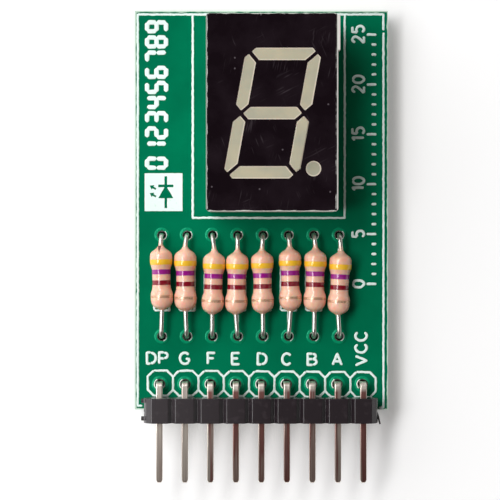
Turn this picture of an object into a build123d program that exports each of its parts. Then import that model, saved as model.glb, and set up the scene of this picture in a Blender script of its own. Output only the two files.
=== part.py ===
from build123d import *

import math
import os

# A seven segment display module: one digit on a small circuit board, a row of axial
# resistors below it and a right-angle pin header along the lower edge.
# The module lies on its back. +Z points out of the digit, +Y runs from the header to
# the top of the digit, and the origin is under the middle of the whole outline, level
# with the trimmed lead ends that the module rests on. All lengths are millimetres.

# Board: its width and length follow from what it carries and from the gaps between
pin_pitch = 2.54
board_side_gap = 2.54
board_thickness = 1.6
lead_protrusion = 1.4
header_edge_gap = 2.54
resistor_row_rise = 4.8
resistor_hole_span = 10.16
display_low_gap = 2.22
display_top_gap = 1.23
header_hole_clearance = 0.02
component_hole_clearance = 0.15
plating_wall = 0.05
pad_ring = 0.32
copper_height = 0.05
mask_ring_height = 0.06
track_width = 0.5
cut_overrun = 1.0

# Solder
solder_fill = 0.7
solder_collar = 0.1
solder_bare_end = 0.4
solder_hollow_share = 0.3

# White print on the board
ink_height = 0.03
ink_width = 0.2
frame_inset = 0.38
print_shift = -0.06
display_print_gap = 1.27
display_print_low_gap = 0.5
display_print_shift = -0.25
octagon_cut = 0.6
octagon_height = 2.48
resistor_print_width = 1.52
resistor_print_length = 4.95
resistor_print_tail_gap = 0.45

# Header, named from left to right after the segments that its pins drive
pin_names = ["dp", "g", "f", "e", "d", "c", "b", "a", "vcc"]
header_pin_width = 0.64
header_body_depth = 2.48
header_body_height = 2.5
header_bend_reach = 1.27
header_bend_inner_radius = 0.1
header_bend_outer_radius = 0.45
header_free_length = 5.97
header_tip_length = 0.3
header_tip_width = 0.42
header_notch_width = 0.36
header_notch_depth = 0.5
header_end_slope = 0.52
left_break_tab = 0.28
right_break_tab = 0.16

# Resistors, one for each segment and one for the decimal point
resistor_length = 6.2
resistor_shift = 0.18
resistor_side_gap = 0.3
waist_depth = 0.2
bulge_length = 1.75
waist_slope = 0.45
end_dome_radius = 1.05
shoulder_length = 0.6
coat_neck_length = 0.25
coat_thickness = 0.08
bulge_round = 0.6
waist_round = 0.8
neck_round = 0.4
resistor_lift = 0.08
lead_diameter = 0.45
lead_bend_radius = 0.7
lead_embed = 0.5
band_thickness = 0.015

# How far each hand-bent resistor sits from the middle of its holes, across as a share of
# the gap between two bodies and along as a share of the free wire at one end, and how far
# its upper end leans to the right
resistor_shift_shares = [
    (0.15, 0.34), (-0.45, 0.27), (0.30, 0.12), (-0.43, 0.11),
    (-0.17, 0.15), (0.54, 0.28), (0.22, 0.24), (-0.10, 0.09),
]
resistor_lean_degrees = [-1.7, -0.4, 2.4, 2.0, -1.0, -0.8, 1.4, 2.9]

# Colour bands, counted from the upper end: place and width as shares of the body length
band_place_shares = {"yellow": 0.225, "violet": 0.382, "brown": 0.556, "gold": 0.780}
band_width_shares = {"yellow": 0.090, "violet": 0.070, "brown": 0.064, "gold": 0.042}

# Display
display_length = 19.05
display_height = 8.0
display_shift = 1.0
display_row_pins = 5
display_side_inset = 1.27
display_row_inset = 1.905
display_pin_diameter = 0.5
shell_wall = 0.8
shell_pocket_depth = 3.2
shell_draft_degrees = 0.6
shell_corner_radius = 0.3
face_ink_height = 0.06
face_ink_side_margin = 0.14
face_ink_end_margin = 0.04
face_ink_shift = (-0.04, 0.02)
flash_width = 0.2
flash_length = 3.4
flash_depth = 1.2
flash_top_gap = 0.12
carrier_thickness = 0.8
led_well_width = 0.6
led_chip_gap = 0.15
led_chip_height = 0.15

# Digit, a little off the middle of the face
digit_shift = (0.03, -0.085)
digit_width = 7.34
digit_height = 12.58
segment_width = 1.2
segment_gap = 0.335
corner_cut = 0.94
segment_round = 0.1
slant_degrees = 10.3
decimal_diameter = 1.49
decimal_gap = 0.49
decimal_rise = 0.21

# Sizes, levels and places that follow from those above
board_width = pin_pitch * (len(pin_names) - 1) + 2 * board_side_gap
board_length = (header_edge_gap + resistor_row_rise + resistor_hole_span + display_low_gap
                + display_length + display_top_gap)
header_drill = header_pin_width * math.sqrt(2) + 2 * (plating_wall + header_hole_clearance)
component_drill = (max(lead_diameter, display_pin_diameter)
                   + 2 * (plating_wall + component_hole_clearance))
bulge_diameter = pin_pitch - resistor_side_gap
waist_diameter = bulge_diameter - 2 * waist_depth
resistor_free_wire = (resistor_hole_span - resistor_length) / 2
display_width = pin_pitch * (display_row_pins - 1) + 2 * display_side_inset
display_row_span = display_length - 2 * display_row_inset
digit_lean = math.tan(math.radians(slant_degrees))
decimal_y = decimal_rise + decimal_diameter / 2 - digit_height / 2
decimal_x = digit_width / 2 + decimal_y * digit_lean + decimal_gap + decimal_diameter / 2
header_overhang = header_bend_reach + header_body_depth + header_free_length - header_edge_gap
overall_length = board_length + header_overhang
board_low_y = header_overhang - overall_length / 2
board_high_y = board_low_y + board_length
board_mid_y = (board_low_y + board_high_y) / 2
board_bottom = lead_protrusion
board_top = board_bottom + board_thickness
header_y = board_low_y + header_edge_gap
header_axis_z = board_top + header_body_height / 2
lower_hole_y = header_y + resistor_row_rise
upper_hole_y = lower_hole_y + resistor_hole_span
resistor_mid_y = (lower_hole_y + upper_hole_y) / 2
resistor_axis_z = board_top + resistor_lift + bulge_diameter / 2
columns = [pin_pitch * (i - (len(pin_names) - 1) / 2) for i in range(len(pin_names))]
resistor_names = pin_names[:-1]
resistor_columns = [x + resistor_shift for x in columns[:-1]]
display_y = board_high_y - display_top_gap - display_length / 2
display_columns = [
    display_shift + pin_pitch * (i - (display_row_pins - 1) / 2) for i in range(display_row_pins)
]
display_low_row = display_y - display_row_span / 2
display_high_row = display_y + display_row_span / 2
display_face_z = board_top + display_height
shell_top_z = display_face_z - face_ink_height
carrier_top_z = board_top + shell_pocket_depth
carrier_bottom_z = carrier_top_z - carrier_thickness

# Every drilled hole, by what passes through it
header_holes = [(x, header_y) for x in columns]
resistor_holes = [(x, y) for x in resistor_columns for y in (lower_hole_y, upper_hole_y)]
display_holes = [(x, y) for y in (display_low_row, display_high_row) for x in display_columns]
drilled = [(x, y, header_drill) for x, y in header_holes]
drilled += [(x, y, component_drill) for x, y in resistor_holes + display_holes]


def rod(x, y, radius, low, high):
    """An upright cylinder between two levels."""
    return Pos(x, y, (low + high) / 2) * Cylinder(radius, high - low)


def slab(x, y, width, length, low, high):
    """An upright box between two levels, centred on x and y."""
    return Pos(x, y, (low + high) / 2) * Box(width, length, high - low)


def line_field(paths, width):
    """The flat field that a pen of one width covers along several paths."""
    strokes = []
    for path in paths:
        strokes += trace(Polyline(*path), line_width=width).faces()
        strokes += [Pos(*point) * Circle(width / 2) for point in path]
    return Sketch() + strokes


def mask_ring(x, y, drill):
    """The low round ring where the solder mask runs over a pad's copper."""
    inner = drill / 2
    outer = inner + pad_ring
    arc = ThreePointArc((inner, 0), ((inner + outer) / 2, mask_ring_height), (outer, 0))
    section = make_face(arc + Line((outer, 0), (inner, 0)))
    return Pos(x, y, board_top) * revolve(Plane.XZ * section, Axis.Z)


def back_tracks():
    """Copper paths on the back, as lists of points: each joins two or more holes."""
    low, high, pitch = display_low_row, display_high_row, pin_pitch
    resistor_x = resistor_columns
    left_lane = (resistor_x[1] + resistor_x[2]) / 2
    inner_lane = (display_columns[3] + display_columns[4]) / 2
    turn_y = high - pitch
    a_y = high + pitch / 2
    common_y = (a_y + board_high_y) / 2
    f_y = upper_hole_y + resistor_x[2] - left_lane
    tracks = [[(pin_x, header_y), (x, lower_hole_y)] for pin_x, x in zip(columns, resistor_x)]
    tracks.append([(resistor_x[1], upper_hole_y), (resistor_x[1], high), (display_columns[0], high)])
    tracks.append([
        (resistor_x[2], upper_hole_y), (left_lane, f_y), (left_lane, turn_y),
        (display_columns[1], turn_y), (display_columns[1], high),
    ])
    tracks.append([(resistor_x[3], upper_hole_y), (display_columns[0], low)])
    tracks.append([(resistor_x[4], upper_hole_y), (display_columns[1], low)])
    tracks.append([(resistor_x[5], upper_hole_y), (display_columns[3], low)])
    tracks.append([
        (resistor_x[6], upper_hole_y), (inner_lane, low), (inner_lane, turn_y),
        (display_columns[4], turn_y), (display_columns[4], high),
    ])
    tracks.append([
        (resistor_x[7], upper_hole_y), (resistor_x[7], a_y),
        (display_columns[3], a_y), (display_columns[3], high),
    ])
    tracks.append([
        (columns[8], header_y), (columns[8], common_y), (display_columns[2], common_y),
        (display_columns[2], high), (display_columns[2], low),
    ])
    return tracks


def make_board():
    """The laminate with its mask: drilled, ringed on the front, tracks raised on the back."""
    board = slab(0, board_mid_y, board_width, board_length, board_bottom, board_top)
    tracks = extrude(line_field(back_tracks(), track_width), amount=copper_height)
    board += Pos(0, 0, board_bottom - copper_height) * tracks
    rings = [mask_ring(x, y, header_drill) for x, y in header_holes]
    rings += [mask_ring(x, y, component_drill) for x, y in resistor_holes]
    board += rings
    low, high = board_bottom - cut_overrun, board_top + cut_overrun
    holes = [rod(x, y, drill / 2, low, high) for x, y, drill in drilled]
    pads = [rod(x, y, drill / 2 + pad_ring, low, board_bottom) for x, y, drill in drilled]
    return board - (holes + pads)


def make_plated_hole(x, y, drill):
    """The tinned barrel of one hole, with its soldering pad on the back."""
    low = board_bottom - copper_height
    barrel = rod(x, y, drill / 2, low, board_top)
    pad = rod(x, y, drill / 2 + pad_ring, low, board_bottom)
    bore = rod(x, y, drill / 2 - plating_wall, low - cut_overrun, board_top + cut_overrun)
    return barrel + pad - bore


def make_solder(x, y, drill, lead_reach, lead):
    """One joint: a plug in the barrel and a hollow-sided cone on the back, around its lead."""
    plug = drill / 2 - plating_wall
    foot = drill / 2 + pad_ring
    neck = lead_reach + solder_collar
    pad_z = board_bottom - copper_height
    bend = (
        neck + (foot - neck) * solder_hollow_share,
        solder_bare_end + (pad_z - solder_bare_end) * (1 - solder_hollow_share),
    )
    fill_z = board_bottom + solder_fill
    outline = Polyline((foot, pad_z), (plug, pad_z), (plug, fill_z), (0, fill_z),
                       (0, solder_bare_end), (neck, solder_bare_end))
    cone = ThreePointArc((neck, solder_bare_end), bend, (foot, pad_z))
    joint = Pos(x, y, 0) * revolve(Plane.XZ * make_face(outline + cone), Axis.Z)
    return joint - lead


def make_print():
    """White lines: the board's frame, the display's box, the header's octagons and the
    resistors' outlines."""
    left = -board_width / 2 + frame_inset + print_shift
    right = board_width / 2 - frame_inset + print_shift
    low, high = board_low_y + frame_inset, board_high_y - frame_inset
    strip_left = columns[0] - pin_pitch / 2 - left_break_tab - ink_width
    strip_right = columns[-1] + pin_pitch / 2 + right_break_tab + ink_width
    paths = [[(strip_left, low), (left, low), (left, high), (right, high), (right, low),
              (strip_right, low)]]
    box_middle = display_shift + display_print_shift
    box_left = box_middle - display_width / 2 - display_print_gap
    box_right = box_middle + display_width / 2 + display_print_gap
    box_low = display_y - display_length / 2 - display_print_low_gap
    paths.append([(box_left, high), (box_left, box_low), (box_right, box_low), (box_right, high)])
    octagon_low = header_y - header_bend_reach + ink_width
    octagon_high = octagon_low + octagon_height
    side = pin_pitch / 2
    for x in columns:
        paths.append([
            (x - side + octagon_cut, octagon_high), (x + side - octagon_cut, octagon_high),
            (x + side, octagon_high - octagon_cut), (x + side, octagon_low + octagon_cut),
            (x + side - octagon_cut, octagon_low), (x - side + octagon_cut, octagon_low),
            (x - side, octagon_low + octagon_cut), (x - side, octagon_high - octagon_cut),
            (x - side + octagon_cut, octagon_high),
        ])
    half_width, half_length = resistor_print_width / 2, resistor_print_length / 2
    ring_reach = component_drill / 2 + pad_ring
    tail = resistor_hole_span / 2 - ring_reach - resistor_print_tail_gap - ink_width / 2
    for x in resistor_columns:
        corners = [(x + h * half_width, resistor_mid_y + v * half_length)
                   for h, v in ((-1, -1), (1, -1), (1, 1), (-1, 1), (-1, -1))]
        paths.append(corners)
        for v in (-1, 1):
            paths.append([(x, resistor_mid_y + v * half_length), (x, resistor_mid_y + v * tail)])
    return Pos(0, 0, board_top) * extrude(line_field(paths, ink_width), amount=ink_height)


def make_header_body():
    """The moulded strip: one unit a pin, V-notches between them, snapped tabs at its ends."""
    side = pin_pitch / 2
    top, low = board_top + header_body_height, board_top
    front = []
    for x in columns:
        left_slope = header_end_slope if x == columns[0] else header_notch_width
        right_slope = header_end_slope if x == columns[-1] else header_notch_width
        front += [(x - side, top - header_notch_depth), (x - side + left_slope, top),
                  (x + side - right_slope, top)]
    left, right = columns[0] - side, columns[-1] + side
    tab_top, tab_low = top - 2 * header_notch_depth, low + 2 * header_notch_depth
    right_end = [(right, top - header_notch_depth), (right + right_break_tab, tab_top),
                 (right + right_break_tab, tab_low), (right, low + header_notch_depth)]
    left_end = [(left - left_break_tab, tab_low), (left - left_break_tab, tab_top)]
    back = [(x, low + top - z) for x, z in reversed(front)]
    outline = Polyline(*front, *right_end, *back, *left_end, close=True)
    strip = extrude(Plane.XZ * make_face(outline), amount=header_body_depth)
    inner_y = header_y - header_bend_reach
    strip = Pos(0, inner_y, 0) * strip
    length = header_body_depth + 2 * cut_overrun
    slots = [Pos(x, inner_y - header_body_depth / 2, header_axis_z)
             * Box(header_pin_width, length, header_pin_width) for x in columns]
    return strip - slots


def make_header_pin(x):
    """One square pin: tapered tip, straight run through the strip, bend, tail through the board."""
    half = header_pin_width / 2
    tip_y = header_y - header_bend_reach - header_body_depth - header_free_length
    start_y = tip_y + header_tip_length
    outline = FilletPolyline(
        (start_y, header_axis_z - half), (header_y - half, header_axis_z - half),
        (header_y - half, 0), (header_y + half, 0),
        (header_y + half, header_axis_z + half), (start_y, header_axis_z + half),
        radius=[0, header_bend_inner_radius, 0, 0, header_bend_outer_radius, 0], close=True,
    )
    pin = extrude(Plane.YZ * make_face(outline), amount=half, both=True)
    tip_plane = Plane(origin=(0, start_y, header_axis_z), z_dir=(0, -1, 0))
    tip_angle = math.degrees(math.atan2(half - header_tip_width / 2, header_tip_length))
    square = Rectangle(header_pin_width, header_pin_width)
    pin += extrude(tip_plane * square, amount=header_tip_length, taper=tip_angle)
    return Pos(x, 0, 0) * pin


def resistor_form(extra):
    """A resistor's dog-bone body along Y, grown by extra all round its bulges and waist."""
    bulge, waist = bulge_diameter / 2 + extra, waist_diameter / 2 + extra
    end = resistor_length / 2
    neck = lead_diameter / 2 + coat_thickness
    waist_end = end - bulge_length - waist_slope
    profile = FilletPolyline(
        (0, -end), (bulge, -end), (bulge, -end + bulge_length), (waist, -waist_end),
        (waist, waist_end), (bulge, end - bulge_length), (bulge, end - shoulder_length),
        (neck, end), (neck, end + coat_neck_length), (0, end + coat_neck_length),
        radius=[end_dome_radius, bulge_round, waist_round, waist_round, bulge_round,
                bulge_round, neck_round, 0],
    )
    axis_line = Line((0, end + coat_neck_length), (0, -end))
    return revolve(make_face(profile + axis_line), Axis.Y)


def resistor_place(index):
    """Where a resistor's body lies: its middle and its lean."""
    across, along = resistor_shift_shares[index]
    x = resistor_columns[index] + across * resistor_side_gap
    y = resistor_mid_y + along * resistor_free_wire
    return Pos(x, y, resistor_axis_z) * Rot(0, 0, -resistor_lean_degrees[index])


def make_lead(index, end_y, hole_y):
    """One wire from inside a resistor's end, bent down through its hole to the trimmed end."""
    exit_point = (resistor_place(index) * Pos(0, end_y, 0)).position
    corner = Vector(resistor_columns[index], hole_y, resistor_axis_z)
    free_run = corner - exit_point
    start = exit_point - free_run.normalized() * lead_embed
    bend = min(lead_bend_radius, free_run.length)
    path = FilletPolyline(start, corner, (corner.X, corner.Y, 0), radius=bend)
    section = Plane(origin=path @ 0, z_dir=path % 0) * Circle(lead_diameter / 2)
    return sweep(section, path=path)


def make_band(colour):
    """One colour's ring of lacquer, around a body along Y."""
    place = resistor_length / 2 - band_place_shares[colour] * resistor_length
    width = band_width_shares[colour] * resistor_length
    reach = bulge_diameter + cut_overrun
    return resistor_form(band_thickness) & (Pos(0, place, 0) * Box(reach, width, reach))


def slanted(points):
    """A digit outline leaned over to the right."""
    return [(x + y * digit_lean, y) for x, y in points]


def segment_outlines():
    """Corner points of the seven segments, about the middle of the digit."""
    w, h, t, c = digit_width / 2, digit_height / 2, segment_width, corner_cut
    k = segment_gap / math.sqrt(2)
    top = [(c - w, h), (w - c, h), (w - (k + c) / 2, h + (k - c) / 2), (w - k - t, h - t),
           (k + t - w, h - t), ((k + c) / 2 - w, h + (k - c) / 2)]
    left = [(-w, h - c), ((c - k) / 2 - w, h - (c + k) / 2), (t - w, h - k - t),
            (t - w, k + t / 2), (t / 2 - w, k), (-w, k + t / 2)]
    middle = [(k + t / 2 - w, 0), (k + t - w, t / 2), (w - k - t, t / 2), (w - k - t / 2, 0),
              (w - k - t, -t / 2), (k + t - w, -t / 2)]
    return {
        "a": top,
        "b": [(-x, y) for x, y in left],
        "c": [(-x, -y) for x, y in left],
        "d": [(x, -y) for x, y in top],
        "e": [(x, -y) for x, y in left],
        "f": left,
        "g": middle,
    }


def segment_windows(share):
    """The flat outline of each segment and of the decimal point, where they lie in the face,
    drawn in about its own middle to a share of its size."""
    windows = {}
    for name, points in segment_outlines().items():
        points = [Vector(x, y) for x, y in slanted(points)]
        middle = sum(points, Vector()) / len(points)
        drawn_in = [middle + (point - middle) * share for point in points]
        window = make_face(Polyline(*drawn_in, close=True))
        windows[f"segment_{name}"] = fillet(window.vertices(), segment_round * share)
    windows["decimal_point"] = Pos(decimal_x, decimal_y) * Circle(decimal_diameter / 2 * share)
    digit_middle = Pos(display_shift + digit_shift[0], display_y + digit_shift[1])
    return {name: digit_middle * window for name, window in windows.items()}


def make_segment(window, well):
    """The clear resin in one segment: a funnel from its window down to the well of its light."""
    return loft([Pos(0, 0, carrier_top_z) * well, Pos(0, 0, shell_top_z) * window], ruled=True)


def make_led_chip(well):
    """The light in the middle of one segment's well, on the carrier."""
    middle = well.center()
    width = led_well_width - 2 * led_chip_gap
    return slab(middle.X, middle.Y, width, width, carrier_top_z, carrier_top_z + led_chip_height)


def make_shell(segments):
    """The white moulded case: open behind, with a funnel for each segment and a thin flash
    of plastic at its right edge."""
    front = RectangleRounded(display_width, display_length, shell_corner_radius)
    case = extrude(front, amount=board_top - shell_top_z, taper=shell_draft_degrees)
    case = Pos(display_shift, display_y, shell_top_z) * case
    flash_y = display_y + (display_length - flash_length) / 2 - flash_top_gap
    case += slab(display_shift + display_width / 2, flash_y, 2 * flash_width, flash_length,
                 shell_top_z - flash_depth, shell_top_z)
    pocket = slab(display_shift, display_y, display_width - 2 * shell_wall,
                  display_length - 2 * shell_wall, board_top - cut_overrun, carrier_top_z)
    return case - pocket - segments


def make_face_ink(windows):
    """The black coat on the display's front, a little off its middle, with its windows."""
    width = display_width - 2 * face_ink_side_margin
    length = display_length - 2 * face_ink_end_margin
    across, along = face_ink_shift
    coat = Pos(display_shift + across, display_y + along) * RectangleRounded(
        width, length, shell_corner_radius)
    coat -= list(windows)
    return Pos(0, 0, shell_top_z) * extrude(coat, amount=face_ink_height)


def make_fill(low, high, pins):
    """A block that fills the case's open back between two levels, around the pins."""
    block = slab(display_shift, display_y, display_width - 2 * shell_wall,
                 display_length - 2 * shell_wall, low, high)
    return block - pins


def save(name, *shapes):
    """Writes one piece, or a group of like pieces, as a named node."""
    solids = [solid for shape in shapes for solid in shape.solids()]
    export_step(Compound(solids) if len(solids) > 1 else solids[0], f"parts/{name}.step")


def save_board():
    save("circuit_board", make_board())
    save("plated_holes", *[make_plated_hole(*hole) for hole in drilled])
    save("board_print", make_print())


def save_header():
    save("header_strip", make_header_body())
    half_diagonal = header_pin_width / math.sqrt(2)
    joints = []
    for name, x in zip(pin_names, columns):
        pin = make_header_pin(x)
        save(f"header_pin_{name}", pin)
        joints.append(make_solder(x, header_y, header_drill, half_diagonal, pin))
    save("header_solder", *joints)


def save_resistors():
    end = resistor_length / 2
    joints = []
    for index, name in enumerate(resistor_names):
        x = resistor_columns[index]
        upper = make_lead(index, end + coat_neck_length, upper_hole_y)
        lower = make_lead(index, -end, lower_hole_y)
        save(f"resistor_leads_{name}", upper, lower)
        save(f"resistor_body_{name}", resistor_place(index) * resistor_form(0) - [upper, lower])
        for hole_y, lead in ((upper_hole_y, upper), (lower_hole_y, lower)):
            joints.append(make_solder(x, hole_y, component_drill, lead_diameter / 2, lead))
    save("resistor_solder", *joints)
    for colour in band_place_shares:
        band = make_band(colour) - resistor_form(0)
        save(f"resistor_bands_{colour}",
             *[resistor_place(index) * band for index in range(len(resistor_names))])


def save_display():
    windows, wells = segment_windows(1), segment_windows(led_well_width / segment_width)
    chips = {name: make_led_chip(well) for name, well in wells.items()}
    segments = {name: make_segment(window, wells[name]) for name, window in windows.items()}
    pins = [rod(x, y, display_pin_diameter / 2, 0, carrier_top_z) for x, y in display_holes]
    save("display_shell", make_shell(list(segments.values())))
    save("display_face_ink", make_face_ink(windows.values()))
    for name, segment in segments.items():
        save(name, segment - chips[name])
    save("led_chips", *chips.values())
    save("led_carrier", make_fill(carrier_bottom_z, carrier_top_z, pins))
    save("display_potting", make_fill(board_top, carrier_bottom_z, pins))
    save("display_pins_lower", *pins[:display_row_pins])
    save("display_pins_upper", *pins[display_row_pins:])
    save("display_solder", *[
        make_solder(x, y, component_drill, display_pin_diameter / 2, pin)
        for (x, y), pin in zip(display_holes, pins)
    ])


os.makedirs("parts", exist_ok=True)
save_board()
save_header()
save_resistors()
save_display()
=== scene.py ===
import math
import random

import bmesh
import bpy
from bpy.props import FloatProperty, FloatVectorProperty, IntProperty, PointerProperty
from mathutils import Matrix, Vector


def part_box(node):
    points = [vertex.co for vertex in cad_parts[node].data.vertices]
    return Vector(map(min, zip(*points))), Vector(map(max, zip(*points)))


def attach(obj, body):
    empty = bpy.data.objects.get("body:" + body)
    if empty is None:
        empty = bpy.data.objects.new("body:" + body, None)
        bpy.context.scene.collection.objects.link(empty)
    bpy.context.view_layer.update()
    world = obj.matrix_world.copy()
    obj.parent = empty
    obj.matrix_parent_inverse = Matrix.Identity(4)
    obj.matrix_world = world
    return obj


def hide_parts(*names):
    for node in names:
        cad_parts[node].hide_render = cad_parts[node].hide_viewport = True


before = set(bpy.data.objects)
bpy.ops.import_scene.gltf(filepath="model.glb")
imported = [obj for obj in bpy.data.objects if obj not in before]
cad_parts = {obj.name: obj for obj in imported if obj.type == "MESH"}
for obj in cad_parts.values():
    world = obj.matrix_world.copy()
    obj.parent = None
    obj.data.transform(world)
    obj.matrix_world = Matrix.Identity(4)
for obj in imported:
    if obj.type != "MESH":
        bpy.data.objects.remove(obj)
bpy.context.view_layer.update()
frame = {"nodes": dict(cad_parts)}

# Dresses a seven segment display module: a digit, eight resistors and a right-angle header
# on a small green board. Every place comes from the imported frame, in metres.

bl_info = {
    "name": "Seven Segment Display Module",
    "version": (1, 0, 0),
    "blender": (4, 5, 0),
    "location": "View3D > Sidebar > Module",
    "description": "Finishes the board, print, header, resistors, display and solder of a module",
    "category": "Object",
}

MM = 0.001
PIN_NAMES = ["dp", "g", "f", "e", "d", "c", "b", "a", "vcc"]
RESISTOR_NAMES = PIN_NAMES[:-1]
SEGMENT_NODES = [f"segment_{letter}" for letter in "abcdefg"] + ["decimal_point"]
DISPLAY_ROW_PINS = 5

# Kinds of node that come up often
MATH, VECTOR_MATH, AXES = "ShaderNodeMath", "ShaderNodeVectorMath", "ShaderNodeSeparateXYZ"
NOISE, CELLS, MAPPING = "ShaderNodeTexNoise", "ShaderNodeTexVoronoi", "ShaderNodeMapping"
MIX, RANGE, BUMP = "ShaderNodeMix", "ShaderNodeMapRange", "ShaderNodeBump"


def corners(node):
    """The lowest and highest corner of a node."""
    low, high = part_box(node)
    return Vector(low), Vector(high)


# Levels and lines of the module, read from the frame
BOARD_LOW, BOARD_HIGH = corners("circuit_board")
BOARD_MIDDLE = (BOARD_LOW + BOARD_HIGH) / 2
BOARD_TOP = corners("board_print")[0].z
PAD_LEVEL = corners("plated_holes")[0].z
STRIP_LOW, STRIP_HIGH = corners("header_strip")
PIN_LOW, PIN_HIGH = corners("header_pin_dp")
PIN_WIDTH = PIN_HIGH.x - PIN_LOW.x
HEADER_Y = PIN_HIGH.y - PIN_WIDTH / 2
COLUMNS = [sum(corner.x for corner in corners(f"header_pin_{name}")) / 2 for name in PIN_NAMES]
PITCH = (COLUMNS[-1] - COLUMNS[0]) / (len(COLUMNS) - 1)
CARRIER_LOW, CARRIER_HIGH = corners("led_carrier")
DISPLAY_MIDDLE = (CARRIER_LOW + CARRIER_HIGH) / 2
DISPLAY_LOW = corners("display_shell")[0]
DISPLAY_HALF_WIDTH = DISPLAY_MIDDLE.x - DISPLAY_LOW.x


def joint_grid(node, columns):
    """A group of soldered joints in a grid: its column and row places and the joints' foot."""
    low, high = corners(node)
    foot = (high.x - low.x - (columns - 1) * PITCH) / 2
    return [low.x + foot + i * PITCH for i in range(columns)], (low.y + foot, high.y - foot), foot


RESISTOR_X, RESISTOR_ROWS, RESISTOR_FOOT = joint_grid("resistor_solder", len(RESISTOR_NAMES))
RESISTOR_MIDDLE_Y = sum(RESISTOR_ROWS) / 2
HEADER_FOOT = joint_grid("header_solder", len(PIN_NAMES))[2]
# How far a hole's bore lies inside the foot of its joint, and how far a wire starts inside its body
BORE_INSET = 0.37 * MM
WIRE_EMBED = 0.5 * MM
# How far the print beside the header is turned, in degrees
PRINT_TURN = 0.45


def linear(hex_colour):
    """An sRGB hex colour as linear RGBA."""
    channels = [int(hex_colour[i:i + 2], 16) / 255 for i in (0, 2, 4)]
    curve = [c / 12.92 if c <= 0.04045 else ((c + 0.055) / 1.055) ** 2.4 for c in channels]
    return (*curve, 1.0)


def per_mm(millimetres):
    """The scale of a pattern whose features are about so many millimetres."""
    return 1 / (millimetres * MM)


def length(name, description, millimetres):
    """A length that a user may change, given in millimetres and kept in metres."""
    return FloatProperty(name=name, description=description, default=millimetres * MM,
                         precision=6, unit="LENGTH")


def share(name, description, default):
    """A plain factor that a user may change."""
    return FloatProperty(name=name, description=description, default=default, subtype="FACTOR")


def colour(name, description, hex_colour):
    """A colour that a user may change, given as an sRGB hex value."""
    return FloatVectorProperty(name=name, description=description, size=4, subtype="COLOR",
                               min=0.0, max=1.0, default=linear(hex_colour))


def seed(description, default):
    """A fixed start for a random pattern."""
    return IntProperty(name="Seed", description=description, default=default)


class BoardLook(bpy.types.PropertyGroup):
    """The board's mask, laminate and holes."""
    mask: colour("Mask", "Solder mask over bare laminate", "007853")
    mask_deep: colour("Deep mask", "Solder mask where it lies thicker", "006A49")
    copper: colour("Over copper", "Solder mask over copper", "0A8E64")
    gloss: colour("Gloss", "Tint of the mask's gloss", "66FFCC")
    laminate: colour("Laminate", "Cut glass laminate at the edges", "CDBE96")
    margin: colour("Margin", "Bare laminate beside the mask's edge", "CFE6D4")
    speck: colour("Speck", "Dust on the mask", "9ED8C0")
    tin: colour("Tin", "Tinned copper in the holes", "DCDDD6")
    # Painted highlight: this pale matt tin, a bead on one side of each hole, stands for the glint on the
    # hole's rim
    matt_tin: colour("Matt tin", "Bare tin beside the holes", "F4FFFA")
    # Painted shade: this near-black darkens the holes' walls further down, where shade falls
    stain: colour("Stain", "Flux stain down in the holes", "1E1A16")
    mask_margin: length("Mask margin", "Bare laminate along the board's edges", 0.12)
    lip: length("Lip", "Half width of the bare tin beside a hole", 0.05)
    lip_gap: length("Lip gap", "From a hole's bore to the middle of that tin", 0.1)
    lip_rise: length("Lip rise", "How far that tin stands above the board", 0.06)


class PrintLook(bpy.types.PropertyGroup):
    """The white print on the board."""
    ink: colour("Ink", "White screen ink", "EEFFF9")
    line: length("Line", "Width of the outlines", 0.22)
    letter: length("Letter", "Stroke of the pin marks", 0.26)
    scale_line: length("Scale line", "Stroke of the scale's ticks and numbers", 0.26)
    bold: length("Bold", "Stroke of the bold numerals", 0.46)
    height: length("Ink height", "Thickness of the ink", 0.025)
    ragged: length("Ragged edge", "How far the ink's edge wanders", 0.13)
    grain: length("Grain", "Distance over which the edge wanders", 0.45)
    seed: seed("Pattern of the ragged edge", 7)


class HeaderLook(bpy.types.PropertyGroup):
    """The black strip and its pins."""
    plastic: colour("Plastic", "Black moulded strip", "272024")
    worn: colour("Worn plastic", "Scuffed places on the strip", "393135")
    # The snapped colour also paints the pale film toward the strip's left end, a painted reflection
    snapped: colour("Snapped plastic", "Whitened plastic at the snapped left end, and dust", "8E8A8C")
    tin: colour("Tin", "Tin over brass", "F0E6DA")
    # The tarnish also paints the dimmer reflection of the pins further right
    tarnish: colour("Tarnish", "Where the tin is thin", "8E605A")
    edge: length("Edge", "Width of the cut along the strip's edges", 0.18)
    pin_edge: length("Pin edge", "Rounding of the pins' edges", 0.17)
    break_depth: length("Break depth", "Roughness of the snapped ends", 0.14)
    seed: seed("Pattern of the snapped ends", 5)


class ResistorLook(bpy.types.PropertyGroup):
    """The lacquered bodies, their bands and wires."""
    lacquer: colour("Lacquer", "Peach lacquer", "FFC8AE")
    lacquer_deep: colour("Deep lacquer", "Lacquer where it runs thick", "FBB99F")
    chip: colour("Chip", "Bare core in a chip of the lacquer", "5E3326")
    yellow: colour("Yellow", "First band", "FFC62E")
    violet: colour("Violet", "Second band", "9A0A86")
    brown: colour("Brown", "Third band", "84041F")
    gold: colour("Gold", "Last band", "DCAC8C")
    wire: colour("Wire", "Tinned wire", "EAE7E1")
    creep: length("Creep", "How far the lacquer creeps up the upper wires", 0.6)
    bulge: length("Bulge", "Radius of the thick ends", 1.115)
    lump: length("Lump", "Unevenness of the lacquer", 0.03)
    paint: length("Paint", "Thickness of the bands", 0.012)
    bend: length("Bend", "Radius of the wires' bends", 0.7)


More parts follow.
